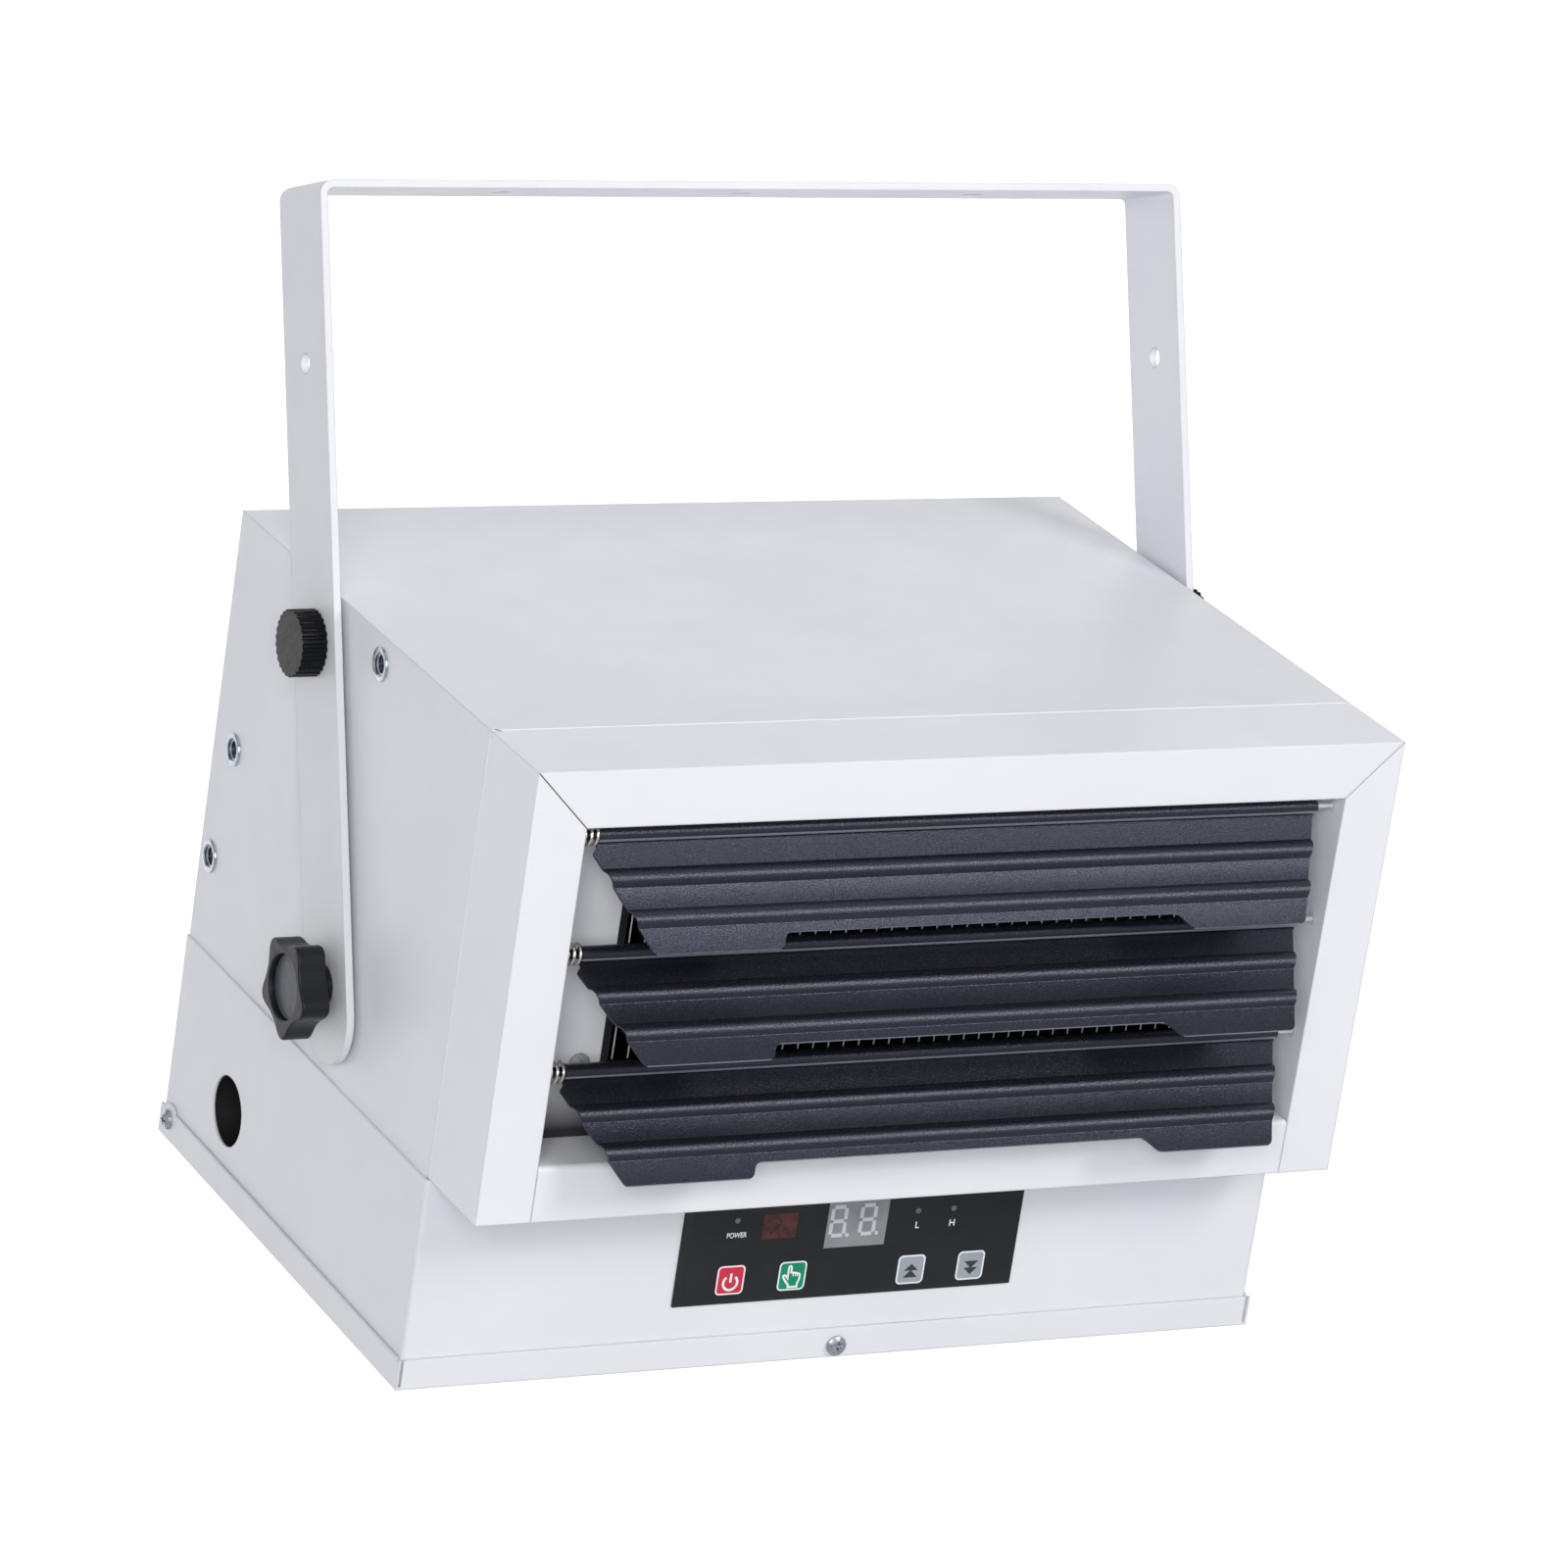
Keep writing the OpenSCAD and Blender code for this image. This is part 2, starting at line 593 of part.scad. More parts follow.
spring_self_gap = min([for (i = [0:spring_steps - 8]) norm(spring_point(i + 8) - spring_point(i))]) - spring_wire;
echo(str("louvre spring: least gap between turns ", spring_self_gap, " mm"));

// ---- heating ----

// Two black channels that carry the ends of the elements
module element_frame() color(BLACK) for (side = [-1, 1]) on_side(side) difference() {
    union() {
        block([-element_x, baffle_y + sheet, open_bottom + 1], [-element_x + 8, baffle_y + 2 * sheet, open_top - 1]);
        block([-element_x, baffle_y + sheet, open_bottom + 1], [-element_x + sheet, element_y + fin_d / 2 + 4, open_top - 1]);
    }
    for (row = [-1:1], run = [-1, 1])
        rod_x(tube_r + tube_gap, -element_x - 1, -element_x + 2, element_y, element_z + row * row_pitch + run * run_gap / 2);
}

// One hairpin element: two finned runs of tube joined by a bend
module heating_element(row) color("#2A2B2E") {
    z = element_z + row * row_pitch;
    for (run = [-1, 1]) rod_x(tube_r, -element_x - 14, element_x + 4, element_y, z + run * run_gap / 2);
    intersection() {
        translate([element_x + 4, element_y, z]) rotate([90, 0, 0]) rotate_extrude()
            translate([run_gap / 2, 0]) circle(tube_r);
        block([element_x + 4 - eps, element_y - 10, z - 20], [element_x + 30, element_y + 10, z + 20]);
    }
    for (i = [0:fin_count], run = [-1, 1]) translate([fin_x0 + i * fin_pitch, element_y, z + run * run_gap / 2])
        block([-fin_t / 2, -fin_d / 2, -fin_h / 2], [fin_t / 2, fin_d / 2, fin_h / 2]);
    for (run = [-1, 1]) rod_x(1.6, -element_x - 22, -element_x - 13, element_y, z + run * run_gap / 2);
}

// Snap disc cut-out on the back of the baffle
module thermal_cutout() color("#C8B890") {
    y = baffle_y + sheet;
    x = element_x + 18;
    z = element_z + row_pitch / 2;
    block([x - 8, y, z - 13], [x + 8, y + 1.2, z + 13]);
    rod_y(8, y + 1, y + 12, x, z);
    for (dx = [-4, 4]) block([x + dx - 0.4, y + 11.5, z - 3.2], [x + dx + 0.4, y + 21, z + 3.2]);
}

// ---- fan ----

module fan_motor() color("#26272A") difference() {
    union() {
        rod_y(motor_r, motor_y0, motor_y1 - 8, 0, fan_z);
        rod_y(motor_r - 5, motor_y1 - 9, motor_y1 - 2, 0, fan_z);
        rod_y(11, motor_y1 - 3, motor_y1, 0, fan_z);
    }
    rod_y(shaft_r + shaft_gap, motor_y0 + 6, motor_y1 + 1, 0, fan_z);
    for (i = [0:11]) translate([0, 0, fan_z]) rotate([0, i * 30, 0])
        block([-2.5, motor_y1 - 6, 18], [2.5, motor_y1, 30]);
    for (x = [-1, 1]) rod_y(screw_hole_r, motor_y0 - 1, motor_y0 + 8, x * motor_screw_x, fan_z);
}

// Strap in front of the motor, with legs back to the rear panel
module motor_mount() color(ZINC) {
    difference() {
        block([-mount_x, motor_y0 - 2, fan_z - 15], [mount_x, motor_y0, fan_z + 15]);
        for (x = [-1, 1]) rod_y(screw_hole_r, motor_y0 - 3, motor_y0 + 1, x * motor_screw_x, fan_z);
    }
    for (side = [-1, 1]) on_side(side) {
        block([-mount_x, motor_y0 - 2, fan_z - 15], [-mount_x + 2, rear_y - sheet, fan_z + 15]);
        difference() {
            block([-mount_x - 16, rear_y - sheet - 2, fan_z - 15], [-mount_x + 2, rear_y - sheet, fan_z + 15]);
            for (z = [-1, 1]) rod_y(screw_hole_r, rear_y - 4, rear_y, -mount_screw_x, fan_z + z * mount_screw_z);
        }
    }
}

module fan_shaft() color(ZINC) {
    rod_y(shaft_r, motor_y0 + 8, hub_y1 + 5, 0, fan_z);
    rod_y(7, hub_y1, hub_y1 + 2.5, 0, fan_z);
}

// Cambered blades riveted round a pressed hub
blade_pitch = 28;
blade_camber_r = 95;
blade_t = 1.2;

module fan_blade() color("#A9ADB4") {
    difference() {
        union() {
            rod_y(26, blade_y - 2, blade_y, 0, fan_z);
            rod_y(9, hub_y0, hub_y1, 0, fan_z);
        }
        rod_y(shaft_r + shaft_gap, hub_y0 - 1, hub_y1 + 1, 0, fan_z);
    }
    for (i = [0:blade_count - 1]) translate([0, blade_y - 1, fan_z]) rotate([0, i * 360 / blade_count, 0])
        intersection() {
            difference() {
                rod_y(fan_r, -14, 14, 0, 0);
                rod_y(22, -15, 15, 0, 0);
            }
            rotate([0, 0, blade_pitch]) translate([0, blade_camber_r, 0]) difference() {
                rod_z(blade_camber_r + blade_t / 2, 18, fan_r + 2, 0, 0);
                rod_z(blade_camber_r - blade_t / 2, 17, fan_r + 3, 0, 0);
            }
            plate_y(-40, 40) polygon([[-9, 18], [-0.32 * fan_r, 0.6 * fan_r], [-0.37 * fan_r, fan_r + 3],
                                      [0.3 * fan_r, fan_r + 3], [0.34 * fan_r, 0.72 * fan_r], [9, 18]]);
        }
}

// Wire guard over the inlet: rings on radial wires, with four eyes
guard_r = collar_r + 4;
guard_wire = 1.5;
guard_eye_r = guard_r + 7.2;
guard_x = guard_eye_r * cos(45);
guard_z = guard_x;
guard_y = rear_y + 8;
guard_rings = [for (i = [1:5]) 24 + (guard_r - 24) * (i - 1) / 4];

module guard_ring(r, y) translate([0, y, fan_z]) rotate([90, 0, 0]) rotate_extrude() translate([r, 0]) circle(guard_wire, $fn = 24);

module rear_guard() color("#C4C7CC") {
    ring_y = guard_y + 1.5 * guard_wire;
    for (r = guard_rings) guard_ring(r, ring_y);
    for (i = [0:7]) translate([0, guard_y, fan_z]) rotate([0, i * 45 + 22.5, 0])
        cylinder_from(20, guard_r + 0.4);
    for (i = [0:3]) translate([0, 0, fan_z]) rotate([0, 45 + i * 90, 0]) {
        rod_y(guard_wire - 0.3, rear_y + 1, ring_y, 0, guard_r);
        difference() {
            plate_y(rear_y, rear_y + 2) round_rect([-4.5, guard_r - 3.5], [4.5, guard_eye_r + 5], 4.4);
            rod_y(screw_hole_r, rear_y - 1, rear_y + 3, 0, guard_eye_r);
        }
    }
}

module cylinder_from(z0, z1) translate([0, 0, z0]) cylinder(r = guard_wire, h = z1 - z0, $fn = 24);

// ---- screws ----

module tray_screws() color(ZINC) {
    translate([0, tray_front, base_z + 4.9]) pan_screw(6);
    for (side = [-1, 1]) on_side(side) translate([-tray_out, ear_y, ear_z]) rotate([0, 0, -90]) pan_screw(6);
}

module guard_screws() color(ZINC) for (x = [-1, 1], z = [-1, 1])
    translate([x * guard_x, rear_y + 2, fan_z + z * guard_z]) rotate([0, 0, 180]) pan_screw(7);

rear_screw_at = concat(
    [for (x = [-1, 1], z = [roof_z - 7, 40, seam_z - 8]) [x * (half_w - 7), z]],
    [for (x = [-1, 1], z = [-1, 1]) [x * mount_screw_x, fan_z + z * mount_screw_z]]);

module motor_screws() color(ZINC) for (x = [-1, 1])
    translate([x * motor_screw_x, motor_y0 - 2, fan_z]) pan_screw(8);

module rear_screws() color(ZINC) for (p = rear_screw_at)
    translate([p[0], rear_y, p[1]]) rotate([0, 0, 180]) pan_screw(6);

module baffle_screws() color(ZINC) for (x = [-1, 1])
    translate([x * baffle_screw_x, baffle_y, baffle_screw_z]) pan_screw(6);

// ---- controls ----

function key_low(i) = [key_x[i] - button_w / 2, key_z - button_w / 2];
function key_high(i) = [key_x[i] + button_w / 2, key_z + button_w / 2];

// Membrane panel stuck on the front, cut through for keys and windows
module membrane_panel() color("#2B2D31") plate_y(front_y - panel_t, front_y) difference() {
    round_rect([-panel_w / 2, panel_z0], [panel_w / 2, panel_z1], 1.5);
    for (i = [0:3]) round_rect(key_low(i) - [key_gap, key_gap], key_high(i) + [key_gap, key_gap], 2 + key_gap);
    translate([display_x[0], display_z[0]]) square([display_x[1] - display_x[0], display_z[1] - display_z[0]]);
    translate([ir_x[0], ir_z[0]]) square([ir_x[1] - ir_x[0], ir_z[1] - ir_z[0]]);
    for (x = led_x) translate([x, led_z]) circle(1.5);
}

module window(x, z, inset) block([x[0], front_y - panel_t + inset, z[0]], [x[1], front_y + 1.2, z[1]]);

module display_window() color("#5A5B60") window(display_x, display_z, 0.1);
module receiver_window() color("#5A2320") window(ir_x, ir_z, 0.1);
module indicator_lenses() color("#8A8C90") for (x = led_x) rod_y(1.5, front_y - panel_t - 0.2, front_y + 1.2, x, led_z);

module button(i, paint) color(paint) plate_y(front_y - panel_t - 0.25, front_y - 0.1)
    round_rect(key_low(i), key_high(i), 2);

// Board behind the panel, on posts, with a key switch behind each button
module control_board() color("#1F5C3A") {
    block([-68, board_y, panel_z0 + 1], [68, board_y + 1.6, panel_z1 - 2]);
    for (x = [-64, 64], z = [panel_z0 + 7, panel_z1 - 8]) rod_y(2.5, front_y + sheet, board_y + eps, x, z);
    for (x = key_x) {
        block([x - 3, front_y + 4.5, key_z - 3], [x + 3, board_y + eps, key_z + 3]);
        rod_y(1.7, front_y + button_travel, front_y + 4.6, x, key_z);
    }
}

module display_module() color("#D9D9D6")
    block([display_x[0] + 1, front_y + 1.3, display_z[0] + 1], [display_x[1] - 1, board_y, display_z[1] - 1]);

power_z = base_z + 10;

module power_board() color("#1F5C3A") {
    block([-60, -30, power_z], [80, 70, power_z + 1.6]);
    for (x = [-54, 74], y = [-24, 64]) rod_z(3, base_z + sheet, power_z + eps, x, y);
}

module power_relays() color("#2C5FA8") for (i = [0:2])
    block([-50 + i * 34, 36, power_z + 1.6], [-22 + i * 34, 60, power_z + 20]);

module transformer() color("#C9B458") {
    block([-44, -20, power_z + 1.6], [-8, 12, power_z + 28]);
    block([-38, -26, power_z + 6], [-14, 18, power_z + 24]);
}

// Supply terminals on the tray, next to the cable entry
module terminal_block() color("#E6E2D4") difference() {
    block([-150, 30, base_z + sheet], [-122, 90, base_z + 22]);
    for (y = [40:20:80]) {
        rod_z(4, base_z + 14, base_z + 23, -130, y);
        block([-151, y - 6, base_z + 12], [-142, y + 6, base_z + 23]);
    }
}

// ---- assembly ----

hanging_bracket();
star_knob(-1);  // star_knob_left
star_knob(1);  // star_knob_right
star_cap(-1);  // star_cap_left
star_cap(1);  // star_cap_right
pivot_stud(-1);  // pivot_stud_left
pivot_stud(1);  // pivot_stud_right
thumb_knob(-1);  // thumb_knob_left
thumb_knob(1);  // thumb_knob_right
thumb_stud(-1);  // thumb_stud_left
thumb_stud(1);  // thumb_stud_right
in_heater() upper_shell();
in_heater() lower_case();
in_heater() base_tray();
in_heater() rear_panel();
in_heater() front_bezel();
in_heater() bezel_lip();
in_heater() outlet_baffle();
in_heater() partition_plate();
in_heater() pivot_inserts();
in_heater() lock_inserts();
louvre(0);  // louvre_top
louvre(1);  // louvre_middle
louvre(2);  // louvre_bottom
louvre_pins(0);  // louvre_pins_top
louvre_pins(1);  // louvre_pins_middle
louvre_pins(2);  // louvre_pins_bottom
louvre_spring(0);  // louvre_spring_top
louvre_spring(1);  // louvre_spring_middle
louvre_spring(2);  // louvre_spring_bottom
in_heater() element_frame();
in_heater() heating_element(1);  // heating_element_top
in_heater() heating_element(0);  // heating_element_middle
in_heater() heating_element(-1);  // heating_element_bottom
in_heater() thermal_cutout();
in_heater() fan_motor();
in_heater() motor_mount();
in_heater() fan_shaft();
in_heater() fan_blade();
in_heater() rear_guard();
in_heater() tray_screws();
in_heater() guard_screws();
in_heater() rear_screws();
in_heater() baffle_screws();
in_heater() motor_screws();
in_heater() membrane_panel();
in_heater() display_window();
in_heater() receiver_window();
in_heater() indicator_lenses();
in_heater() button(0, "#C23B4E");  // power_button
in_heater() button(1, "#1E8F6E");  // mode_button
in_heater() button(2, "#A9ACB3");  // raise_button
in_heater() button(3, "#A9ACB3");  // lower_button
in_heater() control_board();
in_heater() display_module();
in_heater() power_board();
in_heater() power_relays();
in_heater() transformer();
in_heater() terminal_block();
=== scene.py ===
import math

import bmesh
import bpy
from mathutils import Matrix, Vector


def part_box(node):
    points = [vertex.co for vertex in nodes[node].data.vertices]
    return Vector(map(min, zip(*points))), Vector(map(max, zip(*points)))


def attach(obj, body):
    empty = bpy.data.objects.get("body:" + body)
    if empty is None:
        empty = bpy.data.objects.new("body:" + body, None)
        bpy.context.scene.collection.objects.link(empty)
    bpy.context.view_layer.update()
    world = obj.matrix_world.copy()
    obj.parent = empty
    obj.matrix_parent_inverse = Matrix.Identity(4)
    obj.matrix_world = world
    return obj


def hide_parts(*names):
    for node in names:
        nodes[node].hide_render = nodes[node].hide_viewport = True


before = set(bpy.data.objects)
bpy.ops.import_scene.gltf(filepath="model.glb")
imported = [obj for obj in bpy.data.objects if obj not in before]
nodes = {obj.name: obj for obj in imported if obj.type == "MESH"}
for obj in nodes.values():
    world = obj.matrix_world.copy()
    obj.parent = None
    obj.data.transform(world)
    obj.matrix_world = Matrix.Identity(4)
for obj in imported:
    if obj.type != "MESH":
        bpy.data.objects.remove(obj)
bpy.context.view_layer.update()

# the heater hangs tilted 22 degrees about a pivot 300 mm under the ceiling
tilt = math.radians(22)
pivot = -300
heater_up = (0, -math.sin(tilt), math.cos(tilt))
heater_front = (0, -math.cos(tilt), -math.sin(tilt))


# ---------------------------------------------------------------- Camera
# A long lens at the height of the heater, in front of it and to its left.

bpy.ops.object.camera_add(location=(-1.2824, -2.4847, -0.2090),
                          rotation=(math.radians(90.877), math.radians(1.886), math.radians(-27.170)))
camera = bpy.context.object
camera.name = "camera"
camera.data.sensor_width = 36
camera.data.lens = 166.52
camera.data.shift_x = 0.0269
camera.data.shift_y = -0.1068
camera.data.clip_start = 0.1
camera.data.clip_end = 60
bpy.context.scene.camera = camera


# ---------------------------------------------------------------- Studio
# A lit white backdrop, a pale floor far below, a room that darkens towards its
# ceiling, and three soft boxes: a small key at the front right, a broad one
# behind the camera and one above.

bpy.context.scene.view_settings.view_transform = "Standard"
bpy.context.scene.view_settings.look = "None"

world = bpy.data.worlds.new("studio")
world.use_nodes = True
room = world.node_tree
height = room.nodes.new("ShaderNodeSeparateXYZ")
room.links.new(room.nodes.new("ShaderNodeTexCoord").outputs["Generated"], height.inputs["Vector"])
rise = room.nodes.new("ShaderNodeMapRange")
rise.inputs["From Min"].default_value = -1
room.links.new(height.outputs["Z"], rise.inputs["Value"])
shade = room.nodes.new("ShaderNodeValToRGB")
room.links.new(rise.outputs["Result"], shade.inputs["Fac"])
shade.color_ramp.elements[0].position = 0.2
shade.color_ramp.elements[0].color = (0.87, 0.86, 0.86, 1)
shade.color_ramp.elements[1].position = 0.9
shade.color_ramp.elements[1].color = (0.225, 0.235, 0.25, 1)
room.links.new(shade.outputs["Color"], room.nodes["Background"].inputs["Color"])
bpy.context.scene.world = world


def soft_box(name, place, size, watts, colour):
    """A square soft box at place, aimed at the middle of the heater."""
    aim = Vector((0, 0, -0.25)) - Vector(place)
    bpy.ops.object.light_add(type="AREA", location=place, rotation=aim.to_track_quat("-Z", "Y").to_euler())
    light = bpy.context.object
    light.name = name
    light.data.size = size
    light.data.energy = watts
    light.data.color = colour
    return light


soft_box("key_light", (1.35, -2.75, 0.55), 0.85, 27, (1.0, 0.995, 0.985))
soft_box("camera_light", (-1.7, -3.1, -0.1), 1.4, 56, (1.0, 0.995, 0.99))
soft_box("top_light", (0.0, -1.6, 2.2), 1.6, 9, (1.0, 0.99, 0.985))

bpy.ops.mesh.primitive_plane_add(size=24, location=(0, 0, -3.6))
floor = bpy.context.object
floor.name = "floor"
floor_paint = bpy.data.materials.new("pale_floor")
floor_paint.use_nodes = True
floor_paint.node_tree.nodes["Principled BSDF"].inputs["Base Color"].default_value = (0.86, 0.87, 0.88, 1)
floor_paint.node_tree.nodes["Principled BSDF"].inputs["Roughness"].default_value = 0.9
floor.data.materials.append(floor_paint)

bpy.ops.mesh.primitive_plane_add(size=14, location=(2.0, 6.0, 2.0), rotation=(math.radians(90), 0, 0))
backdrop = bpy.context.object
backdrop.name = "backdrop"
backdrop_paint = bpy.data.materials.new("lit_backdrop")
backdrop_paint.use_nodes = True
backdrop_shader = backdrop_paint.node_tree.nodes["Principled BSDF"]
backdrop_shader.inputs["Base Color"].default_value = (0.9, 0.9, 0.9, 1)
backdrop_shader.inputs["Roughness"].default_value = 1.0
backdrop_shader.inputs["Emission Color"].default_value = (1, 1, 1, 1)
backdrop_shader.inputs["Emission Strength"].default_value = 0.74
backdrop.data.materials.append(backdrop_paint)


# ---------------------------------------------------------------- Hanging bracket
# Flat steel bar, 38 x 3 mm, punched and folded into a U, then given a smooth
# white polyester powder coat. Screwed to the ceiling by its top.

def linear(hex_colour, alpha=1.0):
    """A '#RRGGBB' colour as linear RGBA."""
    parts = [int(hex_colour[i:i + 2], 16) / 255 for i in (1, 3, 5)]
    return tuple(p / 12.92 if p <= 0.04045 else ((p + 0.055) / 1.055) ** 2.4 for p in parts) + (alpha,)


def add(tree, kind, links=(), **settings):
    """Adds a shader node. Settings are its properties; links are (input, value or socket)."""
    node = tree.nodes.new("ShaderNode" + kind)
    for key, value in settings.items():
        setattr(node, key, value)
    for key, value in dict(links).items():
        if isinstance(value, bpy.types.NodeSocket):
            tree.links.new(value, node.inputs[key])
        else:
            node.inputs[key].default_value = value
    return node


def start(name, roughness, metallic=0.0, ior=1.5):
    """A new material and its tree, shader and object coordinates."""
    material = bpy.data.materials.new(name)
    material.use_nodes = True
    tree = material.node_tree
    shader = tree.nodes["Principled BSDF"]
    shader.inputs["Roughness"].default_value = roughness
    shader.inputs["Metallic"].default_value = metallic
    if metallic == 0:
        shader.inputs["IOR"].default_value = ior
    return material, tree, shader, add(tree, "TexCoord").outputs["Object"]


def noise(tree, where, size, detail=2.0, rough=0.5):
    """Noise whose cells are about size millimetres across."""
    return add(tree, "TexNoise", {"Vector": where, "Scale": 1000 / size, "Detail": detail,
                                  "Roughness": rough}).outputs["Fac"]


def remap(tree, value, low, high, from_low=0.3, from_high=0.7):
    """Value, usually a noise, spread over low to high."""
    return add(tree, "MapRange", {"Value": value, "From Min": from_low, "From Max": from_high,
                                  "To Min": low, "To Max": high}).outputs["Result"]


def blend_colours(tree, factor, low, high):
    """Colour low at factor 0 and high at factor 1."""
    return add(tree, "Mix", {0: factor, 6: low, 7: high}, data_type="RGBA").outputs[2]


def soften(tree, shader, height, depth, strength=1.0, edge=0.0):
    """Bump of a height field depth millimetres deep, over edges rounded by edge millimetres."""
    links = {"Height": height, "Distance": depth / 1000, "Strength": strength}
    if edge:
        links["Normal"] = add(tree, "Bevel", {"Radius": edge / 1000}, samples=6).outputs["Normal"]
    tree.links.new(add(tree, "Bump", links).outputs["Normal"], shader.inputs["Normal"])


def powder_coat(name, colour, shade, roughness=0.42, edge=0.9):
    """Satin polyester powder coat: faint orange peel, a little uneven in gloss and tone."""
    material, tree, shader, where = start(name, roughness)
    tone = remap(tree, noise(tree, where, 60, 3), 0, 1)
    tree.links.new(blend_colours(tree, tone, linear(shade), linear(colour)), shader.inputs["Base Color"])
    gloss = remap(tree, noise(tree, where, 14, 3), roughness - 0.04, roughness + 0.05)
    tree.links.new(gloss, shader.inputs["Roughness"])
    # the peel is drawn 2.2 mm wide, nearly the real size
    soften(tree, shader, noise(tree, where, 2.2, 2), 0.03, 0.6, edge)
    return material


def paint(material, *names):
    """Gives CAD nodes a material."""
    for name in names:
        mesh = nodes[name].data
        mesh.materials.clear()
        mesh.materials.append(material)


white_coat = powder_coat("white_powder_coat", "#E3E4E9", "#E0E1E7")
paint(white_coat, "hanging_bracket")


# ---------------------------------------------------------------- Star knobs
# Five-lobed hand knob, injection moulded in black glass-filled nylon, with a
# round recess in its face. It is screwed on the pivot's stud by hand.

def ready():
    """Leaves nothing selected, so that the next operator acts on one piece only."""
    if bpy.context.object and bpy.context.object.mode != "OBJECT":
        bpy.ops.object.mode_set(mode="OBJECT")
    bpy.ops.object.select_all(action="DESELECT")


def only(obj):
    """Makes obj the one selected and active object."""
    ready()
    obj.select_set(True)
    bpy.context.view_layer.objects.active = obj


def rod(radius, low, high, sides=96, at=(0, 0)):
    """A round bar along Z from low to high, in millimetres."""
    ready()
    bpy.ops.mesh.primitive_cylinder_add(vertices=sides, radius=radius, depth=high - low,
                                        location=(at[0], at[1], (low + high) / 2))
    return bpy.context.object


def merge(objects):
    """Joins objects into the first."""
    ready()
    for obj in objects:
        obj.select_set(True)
    bpy.context.view_layer.objects.active = objects[0]
    if len(objects) > 1:
        bpy.ops.object.join()
    bpy.ops.object.transform_apply(location=True, rotation=True, scale=True)
    return bpy.context.object


def combine(obj, tool, operation):
    """Cuts tool out of obj, or adds it to obj, and removes tool."""
    only(obj)
    modifier = obj.modifiers.new("combine", "BOOLEAN")
    modifier.operation = operation
    modifier.solver = "EXACT"
    modifier.object = tool
    bpy.ops.object.modifier_apply(modifier="combine")
    bpy.data.objects.remove(tool)


def round_edges(obj, width, steps=3, angle=35):
    """Rounds the edges sharper than angle and shades the rest smooth."""
    only(obj)
    modifier = obj.modifiers.new("round", "BEVEL")
    modifier.width = width
    modifier.segments = steps
    modifier.limit_method = "ANGLE"
    modifier.angle_limit = math.radians(angle)
    modifier.miter_outer = "MITER_ARC"
    bpy.ops.object.modifier_apply(modifier="round")
    bpy.ops.object.shade_smooth_by_angle(angle=math.radians(32))
    # large faces stay flat beside their rounded edges
    modifier = obj.modifiers.new("normals", "WEIGHTED_NORMAL")
    modifier.keep_sharp = True
    bpy.ops.object.modifier_apply(modifier="normals")


def settle(obj, name, turns, place, tilted=True):
    """Turns a piece drawn in millimetres, puts it in its place and applies both in metres.
    With tilted, place is in the level heater, about its pivot, and the piece tilts with it."""
    home = Matrix.Identity(4)
    if tilted:
        home = Matrix.Translation((0, 0, pivot / 1000)) @ Matrix.Rotation(tilt, 4, "X")
    home = home @ Matrix.Scale(0.001, 4) @ Matrix.Translation(place)
    for axis, degrees in reversed(turns):
        home = home @ Matrix.Rotation(math.radians(degrees), 4, axis)
    only(obj)
    bpy.ops.object.transform_apply(location=True, rotation=True, scale=True)
    obj.matrix_world = home
    bpy.ops.object.transform_apply(location=True, rotation=True, scale=True)
    obj.name = name
    obj.data.name = name


def copy_of(obj):
    """A copy with its own mesh."""
    twin = obj.copy()
    twin.data = obj.data.copy()
    bpy.context.collection.objects.link(twin)
    return twin


def dress(obj, material, slot, body, *replaced):
    """Gives a finished piece its material and body and hides the nodes it stands for. slot is not used."""
    obj.data.materials.clear()
    obj.data.materials.append(material)
    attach(obj, body)
    if replaced:
        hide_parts(*replaced)


def both_arms(obj, name, body, node, height, material, slot, right_turn=0):
    """Sets a knob's piece, drawn with its foot at Z 0, on the left arm and its twin on the right one."""
    arm_face = 185.7
    twin = copy_of(obj)
    settle(obj, name + "_left", [("Y", -90)], (-arm_face, 0, height), tilted=False)
    settle(twin, name + "_right", [("Y", 90), ("X", right_turn)], (arm_face, 0, height), tilted=False)
    dress(obj, material, slot, body + "_left_body", node + "_left")
    dress(twin, material, slot, body + "_right_body", node + "_right")


def mirrors_less(material, level):
    """Sets how strongly a material mirrors when it is seen head on, where 0.5 is usual."""
    material.node_tree.nodes["Principled BSDF"].inputs["Specular IOR Level"].default_value = level
    return material


def moulded_plastic(name, colour, shade, roughness, grain=0.35, depth=0.012, edge=0.0):
    """Moulded plastic: a fine spark-eroded skin with a little unevenness in its gloss."""
    material, tree, shader, where = start(name, roughness, ior=1.53)
    tone = remap(tree, noise(tree, where, 6, 4), 0, 1)
    tree.links.new(blend_colours(tree, tone, linear(shade), linear(colour)), shader.inputs["Base Color"])
    tree.links.new(remap(tree, noise(tree, where, 3, 3), roughness - 0.06, roughness + 0.08),
                   shader.inputs["Roughness"])
    soften(tree, shader, noise(tree, where, grain, 2), depth, 0.8, edge)
    return material


black_nylon = mirrors_less(moulded_plastic("glass_filled_nylon", "#1B1C21", "#17181C", 0.38), 0.25)

# five blunt lobes with nearly straight sides between them
knob_height = 17.2
star = rod(1, 6, knob_height, 180)
for vertex in star.data.vertices:
    turn = math.atan2(vertex.co.y, vertex.co.x)
    lobe = 5 * (turn + math.radians(46))
    radius = 17.6 + 2.2 * math.cos(lobe) + 0.3 * math.cos(2 * lobe)
    vertex.co.x, vertex.co.y = radius * math.cos(turn), radius * math.sin(turn)
